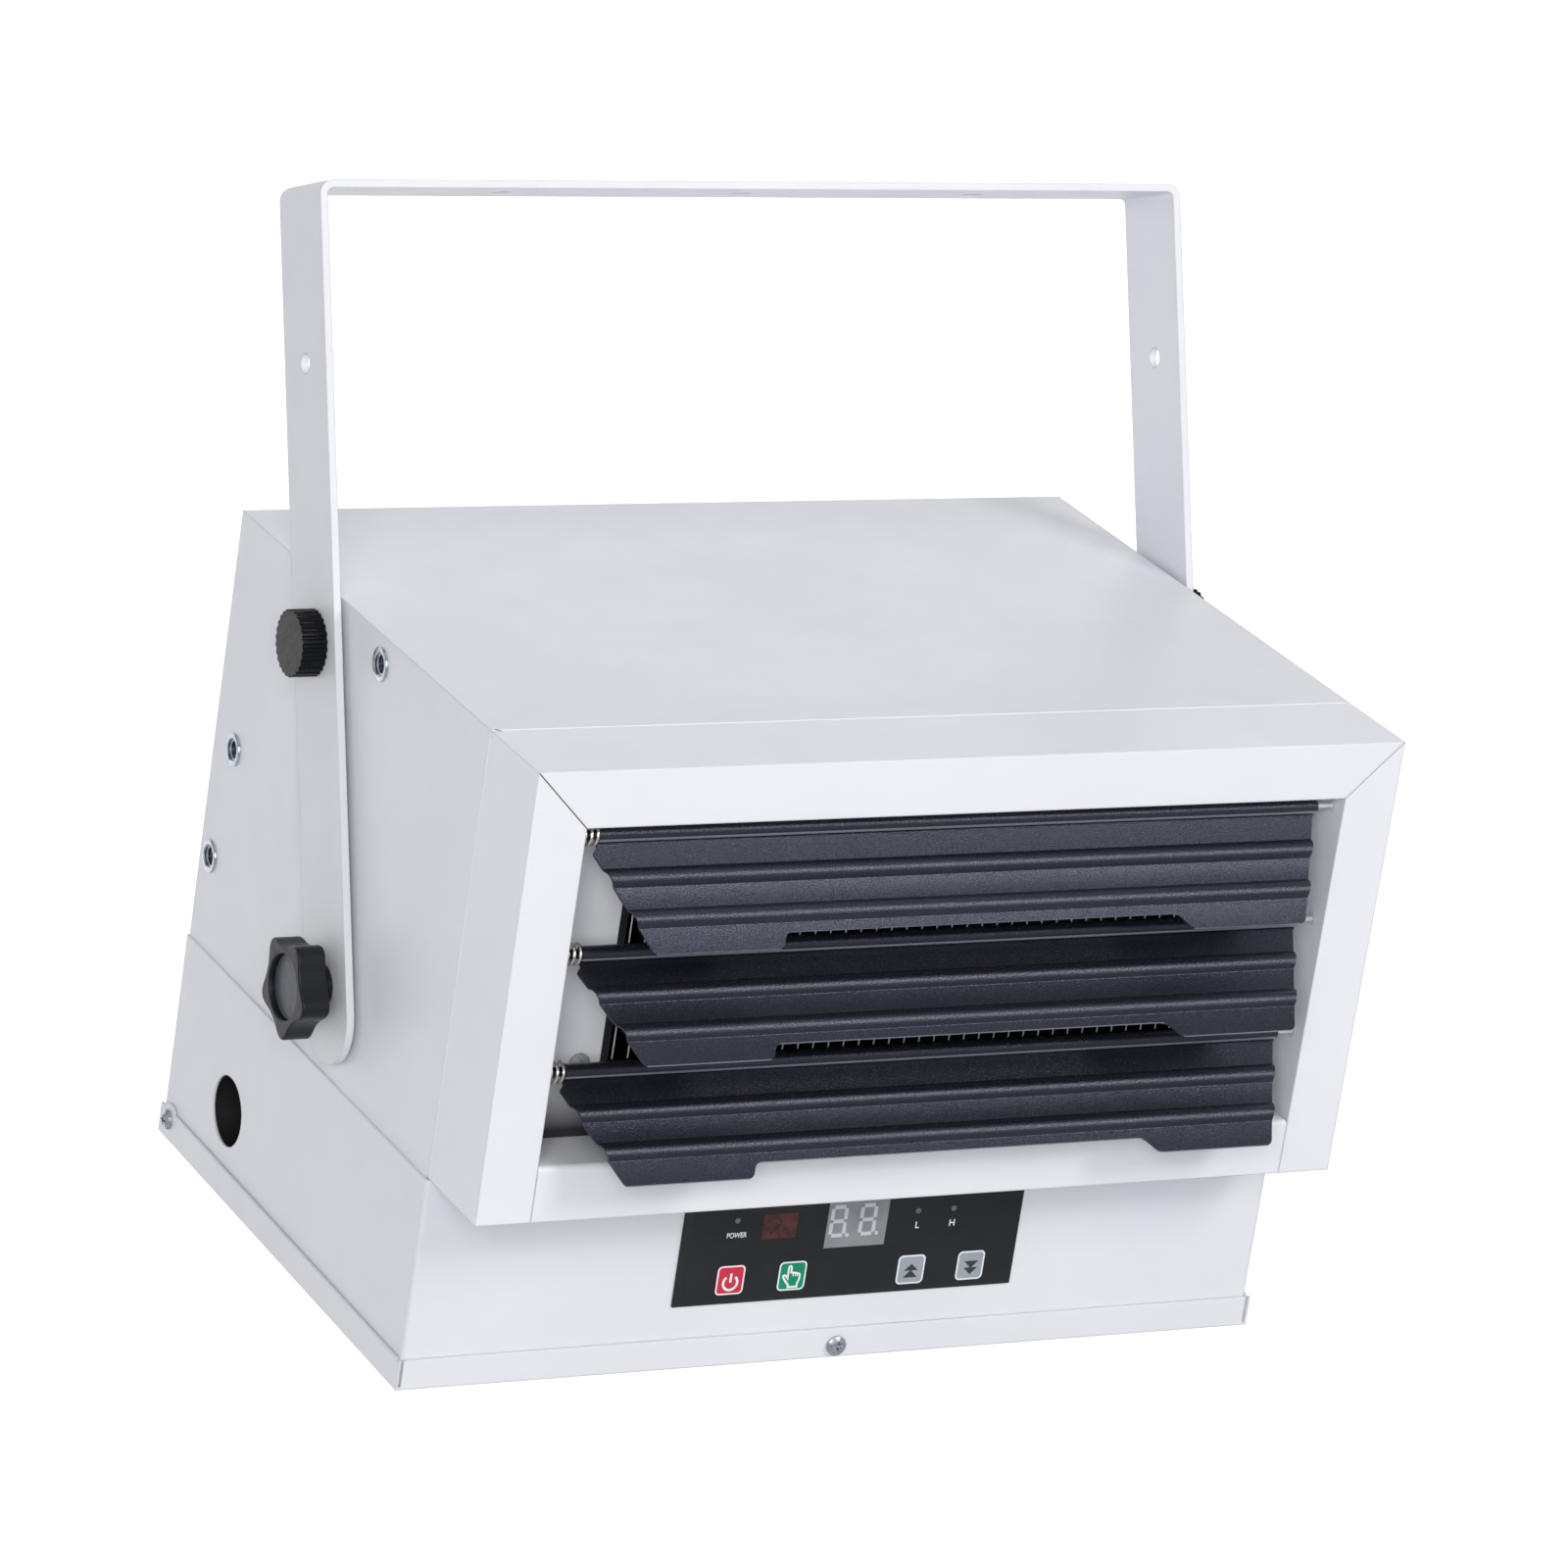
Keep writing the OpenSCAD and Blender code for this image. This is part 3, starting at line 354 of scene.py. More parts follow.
# the recess is as deep as the back of the cap lies in the frame
recess = knob_height - 1000 * (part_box("star_cap_left")[1].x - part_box("star_knob_left")[0].x)
combine(star, rod(12.5, recess, knob_height + 1, 96), "DIFFERENCE")
combine(star, rod(8, 0, 7, 96), "UNION")
combine(star, rod(4.02, -1, 6, 48), "DIFFERENCE")
round_edges(star, 0.9, 4, 50)
both_arms(star, "star_knob_moulding", "star_knob", "star_knob", pivot, black_nylon, "knob_plastic", 16)


# ---------------------------------------------------------------- Star knob caps
# Disc pressed into the recess over the insert, moulded in grey-black
# polypropylene with a slightly crowned face and a softened rim.

cap_plastic = moulded_plastic("polypropylene_cap", "#4C4F59", "#464953", 0.42, 0.5, 0.01)
cap_top = knob_height - 1000 * (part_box("star_cap_left")[0].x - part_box("star_knob_left")[0].x)
cap = rod(12.2, recess, cap_top, 96)
only(cap)
bpy.ops.object.mode_set(mode="EDIT")
shape = bmesh.from_edit_mesh(cap.data)
bpy.ops.mesh.select_all(action="DESELECT")
for face in shape.faces:
    face.select_set(face.normal.z > 0.9)
bmesh.update_edit_mesh(cap.data)
bpy.ops.mesh.inset(thickness=0.35, depth=0)
bpy.ops.mesh.inset(thickness=0.5, depth=-0.22)
bpy.ops.mesh.inset(thickness=5, depth=0.12)
bpy.ops.mesh.inset(thickness=4, depth=0.04)
ready()
round_edges(cap, 0.12, 2, 40)
both_arms(cap, "star_knob_disc", "star_knob", "star_cap", pivot, cap_plastic, "cap_plastic")


# ---------------------------------------------------------------- Studs
# M8 studding, electroplated with zinc and clear passivated, of both the star
# knobs and the thumb screws. Each is moulded into its knob and turns with it.

def zinc_plate(name, colour="#C9CDD3", shade="#AEB4BD", roughness=0.3, edge=0.25):
    """Bright zinc plate: bluish, with cloudy patches and fine rolled scratches."""
    material, tree, shader, where = start(name, roughness, metallic=1.0)
    tone = remap(tree, noise(tree, where, 2.5, 4, 0.6), 0, 1)
    tree.links.new(blend_colours(tree, tone, linear(shade), linear(colour)), shader.inputs["Base Color"])
    tree.links.new(remap(tree, noise(tree, where, 1.2, 4, 0.6), roughness - 0.08, roughness + 0.14),
                   shader.inputs["Roughness"])
    soften(tree, shader, noise(tree, where, 0.6, 3), 0.015, 0.6, edge)
    return material


stud_zinc = zinc_plate("zinc_plated_stud")
tree = stud_zinc.node_tree
# the hidden thread is drawn coarse: at this scale the bands are nearly 8 mm apart
thread = add(tree, "TexWave", {"Vector": add(tree, "TexCoord").outputs["Object"], "Scale": 40},
             wave_type="BANDS", bands_direction="X", wave_profile="TRI")
bump = add(tree, "Bump", {"Height": thread.outputs["Fac"], "Distance": 0.0004, "Strength": 0.9})
tree.links.new(bump.outputs["Normal"], tree.nodes["Principled BSDF"].inputs["Normal"])
paint(stud_zinc, "pivot_stud_left", "pivot_stud_right", "thumb_stud_left", "thumb_stud_right")


# ---------------------------------------------------------------- Thumb screws
# Fluted head moulded in black nylon on an M8 stud, one a side. It goes through
# the arm into one of four inserts and holds the tilt.

flute_count = 26
thumb = rod(12.8, 0, 10, flute_count * 12)
flutes = []
for flute in range(flute_count):
    turn = 2 * math.pi * flute / flute_count
    flutes.append(rod(1, -1, 11, 24, (13.1 * math.cos(turn), 13.1 * math.sin(turn))))
combine(thumb, merge(flutes), "DIFFERENCE")
combine(thumb, rod(4.02, -1, 7.5, 48), "DIFFERENCE")
round_edges(thumb, 0.55, 3, 40)
thumb_nylon = mirrors_less(moulded_plastic("satin_nylon", "#101115", "#0C0D10", 0.26), 0.14)
# each sits straight above the pivot, as far from it as the lock's inserts
lock_reach = 128
both_arms(thumb, "thumb_screw_head", "thumb_screw", "thumb_knob", pivot + lock_reach, thumb_nylon,
          "knob_plastic")


# ---------------------------------------------------------------- Case
# Roof and sides, lower case, floor tray, rear panel and the shelf inside: 1 mm
# steel sheet, punched, folded and white powder coated, held by self-tapping
# screws.

case_coat = powder_coat("white_case_coat", "#E9EAEF", "#E5E6EC", 0.4, 1.1)
paint(case_coat, "upper_shell", "lower_case", "base_tray", "rear_panel", "partition_plate")


def wire(points, radius, name):
    """A round wire through the points."""
    curve = bpy.data.curves.new(name, "CURVE")
    curve.dimensions = "3D"
    line = curve.splines.new("POLY")
    line.points.add(len(points) - 1)
    for point, place in zip(line.points, points):
        point.co = (*place, 1)
    curve.bevel_depth = radius
    curve.bevel_resolution = 5
    curve.use_fill_caps = True
    strand = bpy.data.objects.new(name, curve)
    bpy.context.collection.objects.link(strand)
    only(strand)
    bpy.ops.object.convert(target="MESH")
    bpy.ops.object.shade_smooth_by_angle(angle=math.radians(50))
    return bpy.context.object


# a fine round bead along each side gives the roof's fold its radius
for name, x in (("left", -179.5), ("right", 179.5)):
    fold = wire([(x, -95.4, 138.5), (x, 138, 138.5)], 0.58, "fold")
    settle(fold, "roof_fold_" + name, [], (0, 0, 0))
    dress(fold, case_coat, "white_paint", "heater")

# painted shade: a black cup inside the cable entry makes the hole show dark, as its shade would
entry_shade_cup = rod(16.5, 0, 34, 96)
combine(entry_shade_cup, rod(15.3, -1, 32.8, 96), "DIFFERENCE")
round_edges(entry_shade_cup, 0.3, 2)
settle(entry_shade_cup, "cable_entry_shade_cup", [("Y", 90)], (-179.7, 81, -87.5))
dress(entry_shade_cup, moulded_plastic("black_entry_shade", "#0B0B0D", "#08080A", 0.7), "knob_plastic", "heater")


# ---------------------------------------------------------------- Bezel
# Folded frame round the outlet and the channel below it, in the case's sheet and
# a slightly lighter coat, with mitred corners.

bezel_coat = powder_coat("white_bezel_coat", "#EDEEF3", "#EAEBF1", 0.38, 1.0)
paint(bezel_coat, "front_bezel", "bezel_lip")

# the bezel's rear edge, folded back on itself, stands a little proud of the case
for name, ends in (("roof", [(-179.3, -96, 138.75), (179.3, -96, 138.75)]),
                   ("left", [(-179.75, -96, -36.2), (-179.75, -96, 138.2)]),
                   ("right", [(179.75, -96, -36.2), (179.75, -96, 138.2)])):
    edge = wire(ends, 0.55, "edge")
    settle(edge, "bezel_hem_" + name, [], (0, 0, 0))
    dress(edge, bezel_coat, "white_paint", "heater")


def plate(width, height, radius, thick, steps=8):
    """A flat plate with round corners, centred, with its back at Z 0."""
    ready()
    bpy.ops.mesh.primitive_plane_add(size=1)
    piece = bpy.context.object
    piece.scale = (width, height, 1)
    bpy.ops.object.transform_apply(scale=True)
    bpy.ops.object.mode_set(mode="EDIT")
    bpy.ops.mesh.select_all(action="SELECT")
    if radius:
        bpy.ops.mesh.bevel(offset=radius, segments=steps, affect="VERTICES")
    bpy.ops.mesh.select_all(action="SELECT")
    bpy.ops.mesh.extrude_region_move(TRANSFORM_OT_translate={"value": (0, 0, thick)})
    bpy.ops.mesh.select_all(action="SELECT")
    bpy.ops.mesh.normals_make_consistent(inside=False)
    ready()
    return piece


# The mitres are left open by a hair, and the left one shows dark. The shade in each
# is painted as a thin strip on the sheet, dark on the left and grey on the right,
# and so is the shade in the slit at the left corner.
open_gap_shade = moulded_plastic("open_mitre_shade", "#1C1A1B", "#141213", 0.8)
closed_gap_shade = moulded_plastic("closed_mitre_shade", "#A9AAAF", "#9C9DA3", 0.7)
for name, width, side, gap in (("left", 0.34, -1, open_gap_shade), ("right", 0.16, 1, closed_gap_shade)):
    slit = plate(30.6, width, 0, 0.02)
    settle(slit, "bezel_mitre_shade_" + name, [("Z", 45 * side), ("X", 90)], (169 * side, -137.5, 128))
    dress(slit, gap, "white_paint", "heater")
slit = plate(2.4, 0.5, 0, 0.02)
settle(slit, "bezel_corner_slit_shade", [("Z", -38)], (-177.6, -96.6, 139.3))
dress(slit, open_gap_shade, "white_paint", "heater")


# ---------------------------------------------------------------- Threaded inserts
# Flanged steel rivet nuts, M8, zinc plated, set in the side panels: one for the
# pivot and four for the tilt lock on each side.

insert_zinc = zinc_plate("zinc_rivet_nut", "#D3DAE2", "#A4AEBA", 0.2, 0.0)

# half of an insert's section, as radius and depth, with its thread as nine grooves
pitch = 1.25
section = [(4.7, 0), (6.1, 0), (6.35, -0.12), (6.5, -0.4), (6.5, -0.95), (5.4, -1), (5.4, -12), (4.1, -12)]
for groove in range(9):
    foot = -11.7 + pitch * groove
    section += [(3.65, foot), (3.65, foot + 0.2), (4.25, foot + 0.6), (4.25, foot + 0.8)]
section += [(4.25, -0.45)]
ready()
bpy.ops.mesh.primitive_circle_add(vertices=len(section), fill_type="NOTHING")
insert = bpy.context.object
for vertex, (radius, depth) in zip(insert.data.vertices, section):
    vertex.co = (radius, 0, depth)
lathe = insert.modifiers.new("lathe", "SCREW")
lathe.axis = "Z"
lathe.steps = lathe.render_steps = 64
lathe.use_merge_vertices = True
bpy.ops.object.modifier_apply(modifier="lathe")
bpy.ops.object.mode_set(mode="EDIT")
bpy.ops.mesh.select_all(action="SELECT")
bpy.ops.mesh.normals_make_consistent(inside=False)
ready()
only(insert)
bpy.ops.object.shade_smooth_by_angle(angle=math.radians(35))
# the thumb screws meet an insert at these tilts, in degrees down from level
lock_turns = [math.radians(degrees) for degrees in (0, 22, 68, 90)]
lock_places = [(lock_reach * math.sin(turn), lock_reach * math.cos(turn)) for turn in lock_turns]
for name, places in (("pivot", [(0, 0)]), ("lock", lock_places)):
    twins = []
    for side in (-1, 1):
        for y, z in places:
            twin = copy_of(insert)
            settle(twin, "insert", [("Y", 90 * side)], (181 * side, y, z))
            twins.append(twin)
    nuts = merge(twins)
    nuts.name = nuts.data.name = name + "_rivet_nuts"
    dress(nuts, insert_zinc, "zinc", "heater", name + "_inserts")
bpy.data.objects.remove(insert)


# ---------------------------------------------------------------- Louvres
# Roll-formed steel sheet, 0.9 mm, with two beads and a rolled hem, then coated in
# a fine textured charcoal powder. Each turns on two pins held in its hem.

# name, height of the hinge and how far the sheet's foot stands out in front, in degrees
louvre_places = (("top", 111.4, 41.5), ("middle", 65.4, 51), ("bottom", 19.4, 48))
hinge_depth = -130
half_length = 170


def textured_coat(name):
    """Fine textured powder coat: near black, with wrinkles under a millimetre wide, and a painted highlight
    on faces that look down.
    """
    material, tree, shader, where = start(name, 0.3, ior=1.85)
    grain = noise(tree, where, 0.42, 2, 0.6)
    patch = remap(tree, noise(tree, where, 30, 2), 0, 1)
    dark = blend_colours(tree, patch, linear("#121318"), linear("#15161B"))
    tops = remap(tree, grain, 0, 1, 0.45, 0.7)
    coat = blend_colours(tree, tops, dark, linear("#22252D"))
    # painted highlight: faces that look down and 25 degrees forward, such as the sheared lower edge, are
    # painted light grey as if they caught the light
    lean = math.radians(25)
    down = add(tree, "VectorMath", {0: add(tree, "TexCoord").outputs["Normal"],
                                    1: (0, -math.sin(lean), -math.cos(lean))},
               operation="DOT_PRODUCT").outputs["Value"]
    tree.links.new(blend_colours(tree, remap(tree, down, 0, 1, 0.9, 0.96), coat, linear("#8F939D")),
                   shader.inputs["Base Color"])
    tree.links.new(remap(tree, grain, 0.34, 0.24), shader.inputs["Roughness"])
    soften(tree, shader, grain, 0.12, 1.0)
    shader.inputs["Specular Tint"].default_value = linear("#C6CEE6")
    return material


def bead(begin):
    """A bead 7.8 mm wide and 2.2 mm high, begin millimetres below the hem, as distances
    down and out of the sheet."""
    lean = math.radians(50)
    half = [(math.sin(lean * i / 6), 1 - math.cos(lean * i / 6)) for i in range(7)]
    half += [(3.9 - 3.4 * math.sin(lean * (1 - i / 9)), 2.2 - 3.4 * (1 - math.cos(lean * (1 - i / 9))))
             for i in range(10)]
    other_half = [(7.8 - down, out) for down, out in half[-2::-1]]
    return [(begin + down, out) for down, out in half + other_half]


def band(begin, end, sag):
    """A band between beads, a little hollow across."""
    return [(begin + (end - begin) * t / 8, -sag * 4 * (t / 8) * (1 - t / 8)) for t in range(1, 8)]


# the middle line of the sheet in Y and Z, from the curled edge of the hem to the tip
hem_radius = 2.4
turns = [math.radians(degrees) for degrees in range(300, 0, -8)]
section = [(hem_radius * math.cos(turn), hem_radius * math.sin(turn)) for turn in turns]
sheet = [(0, 0)] + band(0, 12.2, 0.12) + bead(12.2) + band(20, 27.8, 0.16) + bead(27.8)
sheet += band(35.6, 45.2, 0.1) + [(45.2, 0)]
section += [(hem_radius - out, -down) for down, out in sheet]
ready()
bpy.ops.mesh.primitive_grid_add(x_subdivisions=1, y_subdivisions=len(section) - 1, size=2)
louvre = bpy.context.object
for vertex in louvre.data.vertices:
    row = round((vertex.co.y + 1) / 2 * (len(section) - 1))
    vertex.co = (half_length if vertex.co.x > 0 else -half_length, *section[row])
gauge = louvre.modifiers.new("gauge", "SOLIDIFY")
gauge.thickness = 0.9
gauge.offset = 0
bpy.ops.object.modifier_apply(modifier="gauge")
bpy.ops.object.mode_set(mode="EDIT")
bpy.ops.mesh.select_all(action="SELECT")
bpy.ops.mesh.normals_make_consistent(inside=False)
ready()

# the blank's outline: X, Z and the radius of each corner
corners = [(-149.6, 6, 0), (149.8, 6, 0), (149.8, -3.2, 0), (149.2, -3.2, 0), (136, -45.3, 2.2),
           (87.6, -45.3, 2.2), (82.2, -39.0, 2.2), (-80.3, -39.0, 2), (-83.1, -45.3, 2),
           (-134.6, -45.3, 1.8), (-151.6, -6.5, 0.8), (-149.6, -4.2, 0)]
ready()
bpy.ops.mesh.primitive_circle_add(vertices=len(corners), fill_type="NGON")
blank = bpy.context.object
for vertex, (x, z, radius) in zip(blank.data.vertices, corners):
    vertex.co = (x, -20, z)
bpy.ops.object.mode_set(mode="EDIT")
for x, z, radius in corners:
    if radius:
        bpy.ops.mesh.select_all(action="DESELECT")
        shape = bmesh.from_edit_mesh(blank.data)
        for vertex in shape.verts:
            vertex.select_set((vertex.co - Vector((x, -20, z))).length < 0.01)
        bmesh.update_edit_mesh(blank.data)
        bpy.ops.mesh.bevel(offset=radius, segments=5, affect="VERTICES")
bpy.ops.mesh.select_all(action="SELECT")
bpy.ops.mesh.extrude_region_move(TRANSFORM_OT_translate={"value": (0, 40, 0)})
bpy.ops.mesh.select_all(action="SELECT")
bpy.ops.mesh.normals_make_consistent(inside=False)
ready()
combine(louvre, blank, "INTERSECT")
round_edges(louvre, 0.22, 2, 55)

louvre_coat = textured_coat("charcoal_textured_coat")
for name, level, angle in louvre_places:
    twin = copy_of(louvre)
    settle(twin, "louvre_sheet_" + name, [("X", -angle)], (0, hinge_depth, level))
    dress(twin, louvre_coat, "louvre_paint", "louvre_" + name + "_body", "louvre_" + name)
bpy.data.objects.remove(louvre)


# ---------------------------------------------------------------- Louvre pins
# A turned steel pin in the left end of each hem, near black, its dark also a
# painted shade for the inside of the spring's coil, and a thinner one of white
# nylon, with a collar, in the right end. They turn in the holes of the bezel's
# returns.

dark_pin_and_shade = zinc_plate("dark_steel_pin_and_shade", "#3A3B3E", "#2A2B2E", 0.34, 0.15)
white_pin = moulded_plastic("white_nylon_pin", "#D9DADF", "#D2D3D9", 0.5)
left_pin = merge([rod(1.8, -162, -146, 32), rod(1.88, -147, -128, 32)])
right_pin = merge([rod(0.9, 148, 162, 32), rod(1.88, 137, 149.3, 32), rod(2.6, 157.3, 157.9, 48)])
for pin in (left_pin, right_pin):
    round_edges(pin, 0.3, 2, 50)
for name, level, angle in louvre_places:
    for side, pin, finish in (("left", left_pin, dark_pin_and_shade), ("right", right_pin, white_pin)):
        twin = copy_of(pin)
        settle(twin, "louvre_pin_" + side + "_" + name, [("Y", 90)], (0, hinge_depth, level))
        dress(twin, finish, "zinc", "louvre_" + name + "_body", "louvre_pins_" + name)
bpy.data.objects.remove(left_pin)
bpy.data.objects.remove(right_pin)


# ---------------------------------------------------------------- Louvre springs
# Compression spring of bright nickel plated wire between the bezel's return and
# the end of each hem, round the left pin. It holds the louvre where it is set.

# two and two thirds turns, in steps of ten degrees
coil = []
for step in range(97):
    turn = step / 36
    angle = 2 * math.pi * turn
    coil.append((-150.3 - 2.5 * turn, 3.75 * math.cos(angle), 3.75 * math.sin(angle)))
spring = wire(coil, 0.66, "spring")
spring_nickel = zinc_plate("nickel_plated_wire", "#F0ECE4", "#DAD5CC", 0.2, 0.0)
for name, level, angle in louvre_places:
    twin = copy_of(spring)
    settle(twin, "spring_coil_" + name, [("X", 90 - angle)], (0, hinge_depth, level))
    dress(twin, spring_nickel, "spring_wire", "louvre_" + name + "_body", "louvre_spring_" + name)
bpy.data.objects.remove(spring)


# ---------------------------------------------------------------- Outlet baffle
# Flat steel plate behind the louvres with an opening for the elements, in a pale
# coat, screwed to the element channels.

baffle_coat = powder_coat("pale_grey_coat", "#E6E7EC", "#E0E1E7", 0.36, 0.5)
# painted shade: the foot of the plate is painted darker over 20 mm, behind the lip, where the lip shades it
tree = baffle_coat.node_tree
shader = tree.nodes["Principled BSDF"]
level = add(tree, "VectorMath", {0: add(tree, "TexCoord").outputs["Object"], 1: heater_up},
            operation="DOT_PRODUCT").outputs["Value"]
pivot_level = pivot / 1000 * math.cos(tilt)
foot = remap(tree, level, 0, 1, pivot_level - 0.012, pivot_level + 0.008)
unshaded_colour = shader.inputs["Base Color"].links[0].from_socket
tree.links.new(blend_colours(tree, foot, linear("#2A2A2E"), unshaded_colour), shader.inputs["Base Color"])
paint(baffle_coat, "outlet_baffle")


# ---------------------------------------------------------------- Elements
# Steel tube hairpins with fins pressed on, dark from heat treatment, their
# sheared front edges bare and bright, and all else that faces the outlet given a
# painted highlight. Two black channels carry their ends.

def finned_steel(name):
    """Heat-tinted steel, painted near white where the surface faces the outlet: bare sheared edges on the
    fins, a painted highlight elsewhere.
    """
    material, tree, shader, where = start(name, 0.4)
    # painted highlight: surfaces facing the outlet, tubes and collars too, turn near white and less metallic
    facing = add(tree, "VectorMath", {0: add(tree, "TexCoord").outputs["Normal"], 1: heater_front},
                 operation="DOT_PRODUCT").outputs["Value"]
    edge = remap(tree, facing, 0, 1, 0.97, 0.99)
    tint = remap(tree, noise(tree, where, 8, 3), 0, 1)
    body = blend_colours(tree, tint, linear("#17171A"), linear("#232226"))
    tree.links.new(remap(tree, edge, 0.7, 0.1, 0, 1), shader.inputs["Metallic"])
    tree.links.new(blend_colours(tree, edge, body, linear("#E6E7EA")), shader.inputs["Base Color"])
    soften(tree, shader, noise(tree, where, 0.8, 3), 0.01, 0.6)
    return material


def block(low, high):
    """A block between two corners."""
    ready()
    bpy.ops.mesh.primitive_cube_add(size=1, location=[(a + b) / 2 for a, b in zip(low, high)],
                                    scale=[b - a for a, b in zip(low, high)])
    return bpy.context.object


# drawn on end, with the tubes along Z: two runs of fins, a hairpin tube and its two terminals
element_rows = (("top", 101.1), ("middle", 55.1), ("bottom", 9.1))
element_depth = -91.5
# half the distance between an element's two runs
run = 11.5
fin_pitch = 6.38
fin_count = 38
fin = merge([plate(19, 30, 1.6, 0.6), rod(5, 0, 2.4, 32)])
fin.location.z = -118.3
only(fin)
bpy.ops.object.transform_apply(location=True)
stack = fin.modifiers.new("stack", "ARRAY")
stack.use_relative_offset = False
stack.use_constant_offset = True
stack.constant_offset_displace = (0, 0, fin_pitch)
stack.count = fin_count
bpy.ops.object.modifier_apply(modifier="stack")
stacks = [fin, copy_of(fin)]
stacks[0].location.x = -run
stacks[1].location.x = run
turns = [math.radians(degrees) for degrees in range(0, 181, 12)]
bend = [(run * math.cos(turn), 0, 130 + run * math.sin(turn)) for turn in turns]
tube = wire([(run, 0, -140)] + bend + [(-run, 0, -140)], 4, "tube")
terminals = [rod(1.6, -148, -139, 24, (x, 0)) for x in (-run, run)]
element = merge(stacks + [tube] + terminals)
element_steel = finned_steel("heat_tinted_steel")
for name, z in element_rows:
    twin = copy_of(element)
    settle(twin, "finned_element_" + name, [("Y", 90)], (0, element_depth, z))
    dress(twin, element_steel, "element_steel", "heater", "heating_element_" + name)
bpy.data.objects.remove(element)

channels = []
for near, far in ((-126, -122.4), (122.4, 126)):
    web = -126 if near < 0 else 125
    channel = block((-116, -111.5, near), (13.8, -110.5, far))
    combine(channel, block((-116, -111.5, web), (13.8, -72.5, web + 1)), "UNION")
    for name, z in element_rows:
        for x in (-z + run, -z - run):
            combine(channel, rod(4.15, web - 2, web + 3, 40, (x, element_depth)), "DIFFERENCE")
    channels.append(channel)
channel = merge(channels)
round_edges(channel, 0.2, 2, 60)
settle(channel, "element_channels", [("Y", 90)], (0, 0, 0))
frame_coat = moulded_plastic("black_channel_coat", "#121316", "#0D0E10", 0.4, 0.6, 0.02)
dress(channel, frame_coat, "frame_paint", "heater", "element_frame")


# ---------------------------------------------------------------- Thermal cut-out
# Snap disc thermostat: an aluminium cup in a phenolic moulding with two tabs.

phenolic = moulded_plastic("phenolic_moulding", "#B9A577", "#A8946A", 0.5, 0.6, 0.03, 0.2)
paint(phenolic, "thermal_cutout")


# ---------------------------------------------------------------- Motor and mount
# Closed motor in a black enamelled pressed shell, on a galvanised strap
# bridged in front of it, its steel shaft ground bright.

motor_enamel = moulded_plastic("black_motor_enamel", "#1E1F22", "#17181A", 0.34, 1.2, 0.03, 0.6)
paint(motor_enamel, "fan_motor")


def galvanised(name):
    """Hot-dip galvanised sheet: flat zinc spangles of a few millimetres."""
    material, tree, shader, where = start(name, 0.38, metallic=1.0)
    cell = add(tree, "TexVoronoi", {"Vector": where, "Scale": 1000 / 6}, feature="F1")
    spangle = add(tree, "SeparateColor", {"Color": cell.outputs["Color"]}).outputs["Red"]
    tree.links.new(blend_colours(tree, spangle, linear("#A3A9AF"), linear("#C6CBD0")),
                   shader.inputs["Base Color"])
    tree.links.new(remap(tree, spangle, 0.3, 0.5, 0, 1), shader.inputs["Roughness"])
    soften(tree, shader, noise(tree, where, 2, 3), 0.02, 0.5, 0.4)
    return material


paint(galvanised("galvanised_sheet"), "motor_mount")
paint(zinc_plate("ground_steel", "#C4C4C6", "#A9AAAD", 0.24, 0.2), "fan_shaft")


# ---------------------------------------------------------------- Fan
# Five cambered aluminium blades riveted round a pressed hub, mill finish.

def mill_aluminium(name):
    """Rolled aluminium: long faint draw lines and a soft grey lustre."""
    material, tree, shader, where = start(name, 0.34, metallic=1.0)
    lines = add(tree, "Mapping", {"Vector": where, "Scale": (1, 1, 14)}).outputs["Vector"]
    streak = noise(tree, lines, 14, 4, 0.6)
    tree.links.new(blend_colours(tree, remap(tree, streak, 0, 1), linear("#B8BBBF"), linear("#CDCFD2")),
                   shader.inputs["Base Color"])
    tree.links.new(remap(tree, streak, 0.28, 0.44), shader.inputs["Roughness"])
    soften(tree, shader, streak, 0.015, 0.5, 0.3)
    return material


paint(mill_aluminium("mill_aluminium"), "fan_blade")


# ---------------------------------------------------------------- Guard
# Rings and spokes of 3 mm wire, resistance welded, then powder coated a pale
# grey and held by four screws through pressed eyes.

paint(powder_coat("grey_guard_coat", "#CDD0D5", "#C4C7CD", 0.36, 0.4), "rear_guard")


# ---------------------------------------------------------------- Screws
# Phillips pan heads, self-tapping, zinc plated but for the painted ones that hold
# the baffle.

screw_zinc = zinc_plate("zinc_plated_screw", "#C8CBD0", "#9DA3AC", 0.28, 0.3)
paint(screw_zinc, "tray_screws", "guard_screws", "rear_screws", "motor_screws")
paint(powder_coat("painted_screw_head", "#A2A3A9", "#96979D", 0.4, 0.4), "baffle_screws")


# ---------------------------------------------------------------- Membrane panel
# Polyester film with a fine matt texture, printed charcoal on its back, stuck
# to the front. Its white lettering and key borders are printed too.

def printed_film(name, colour, shade, roughness=0.42):
    """Back-printed polyester film with a fine matt texture."""
    material, tree, shader, where = start(name, roughness, ior=1.57)
    tone = remap(tree, noise(tree, where, 18, 2), 0, 1)
    tree.links.new(blend_colours(tree, tone, linear(shade), linear(colour)), shader.inputs["Base Color"])
    # the film's grain is finer than a pixel, so it is drawn 0.5 mm wide
    soften(tree, shader, noise(tree, where, 0.5, 1), 0.008, 0.7)
    return material


panel_film = mirrors_less(printed_film("charcoal_polyester_film", "#1F2125", "#1B1D20"), 0.3)
white_ink = printed_film("white_screen_ink", "#F2F3F6", "#ECEDF1", 0.5)

# Y of the front of the case and of what lies on it, one layer on the next
case_front = -96
window_front = -96.71
key_back = -96.75
film_front = -96.8
border_back = -97.02
sign_back = -97.07
film_middle = -73.1


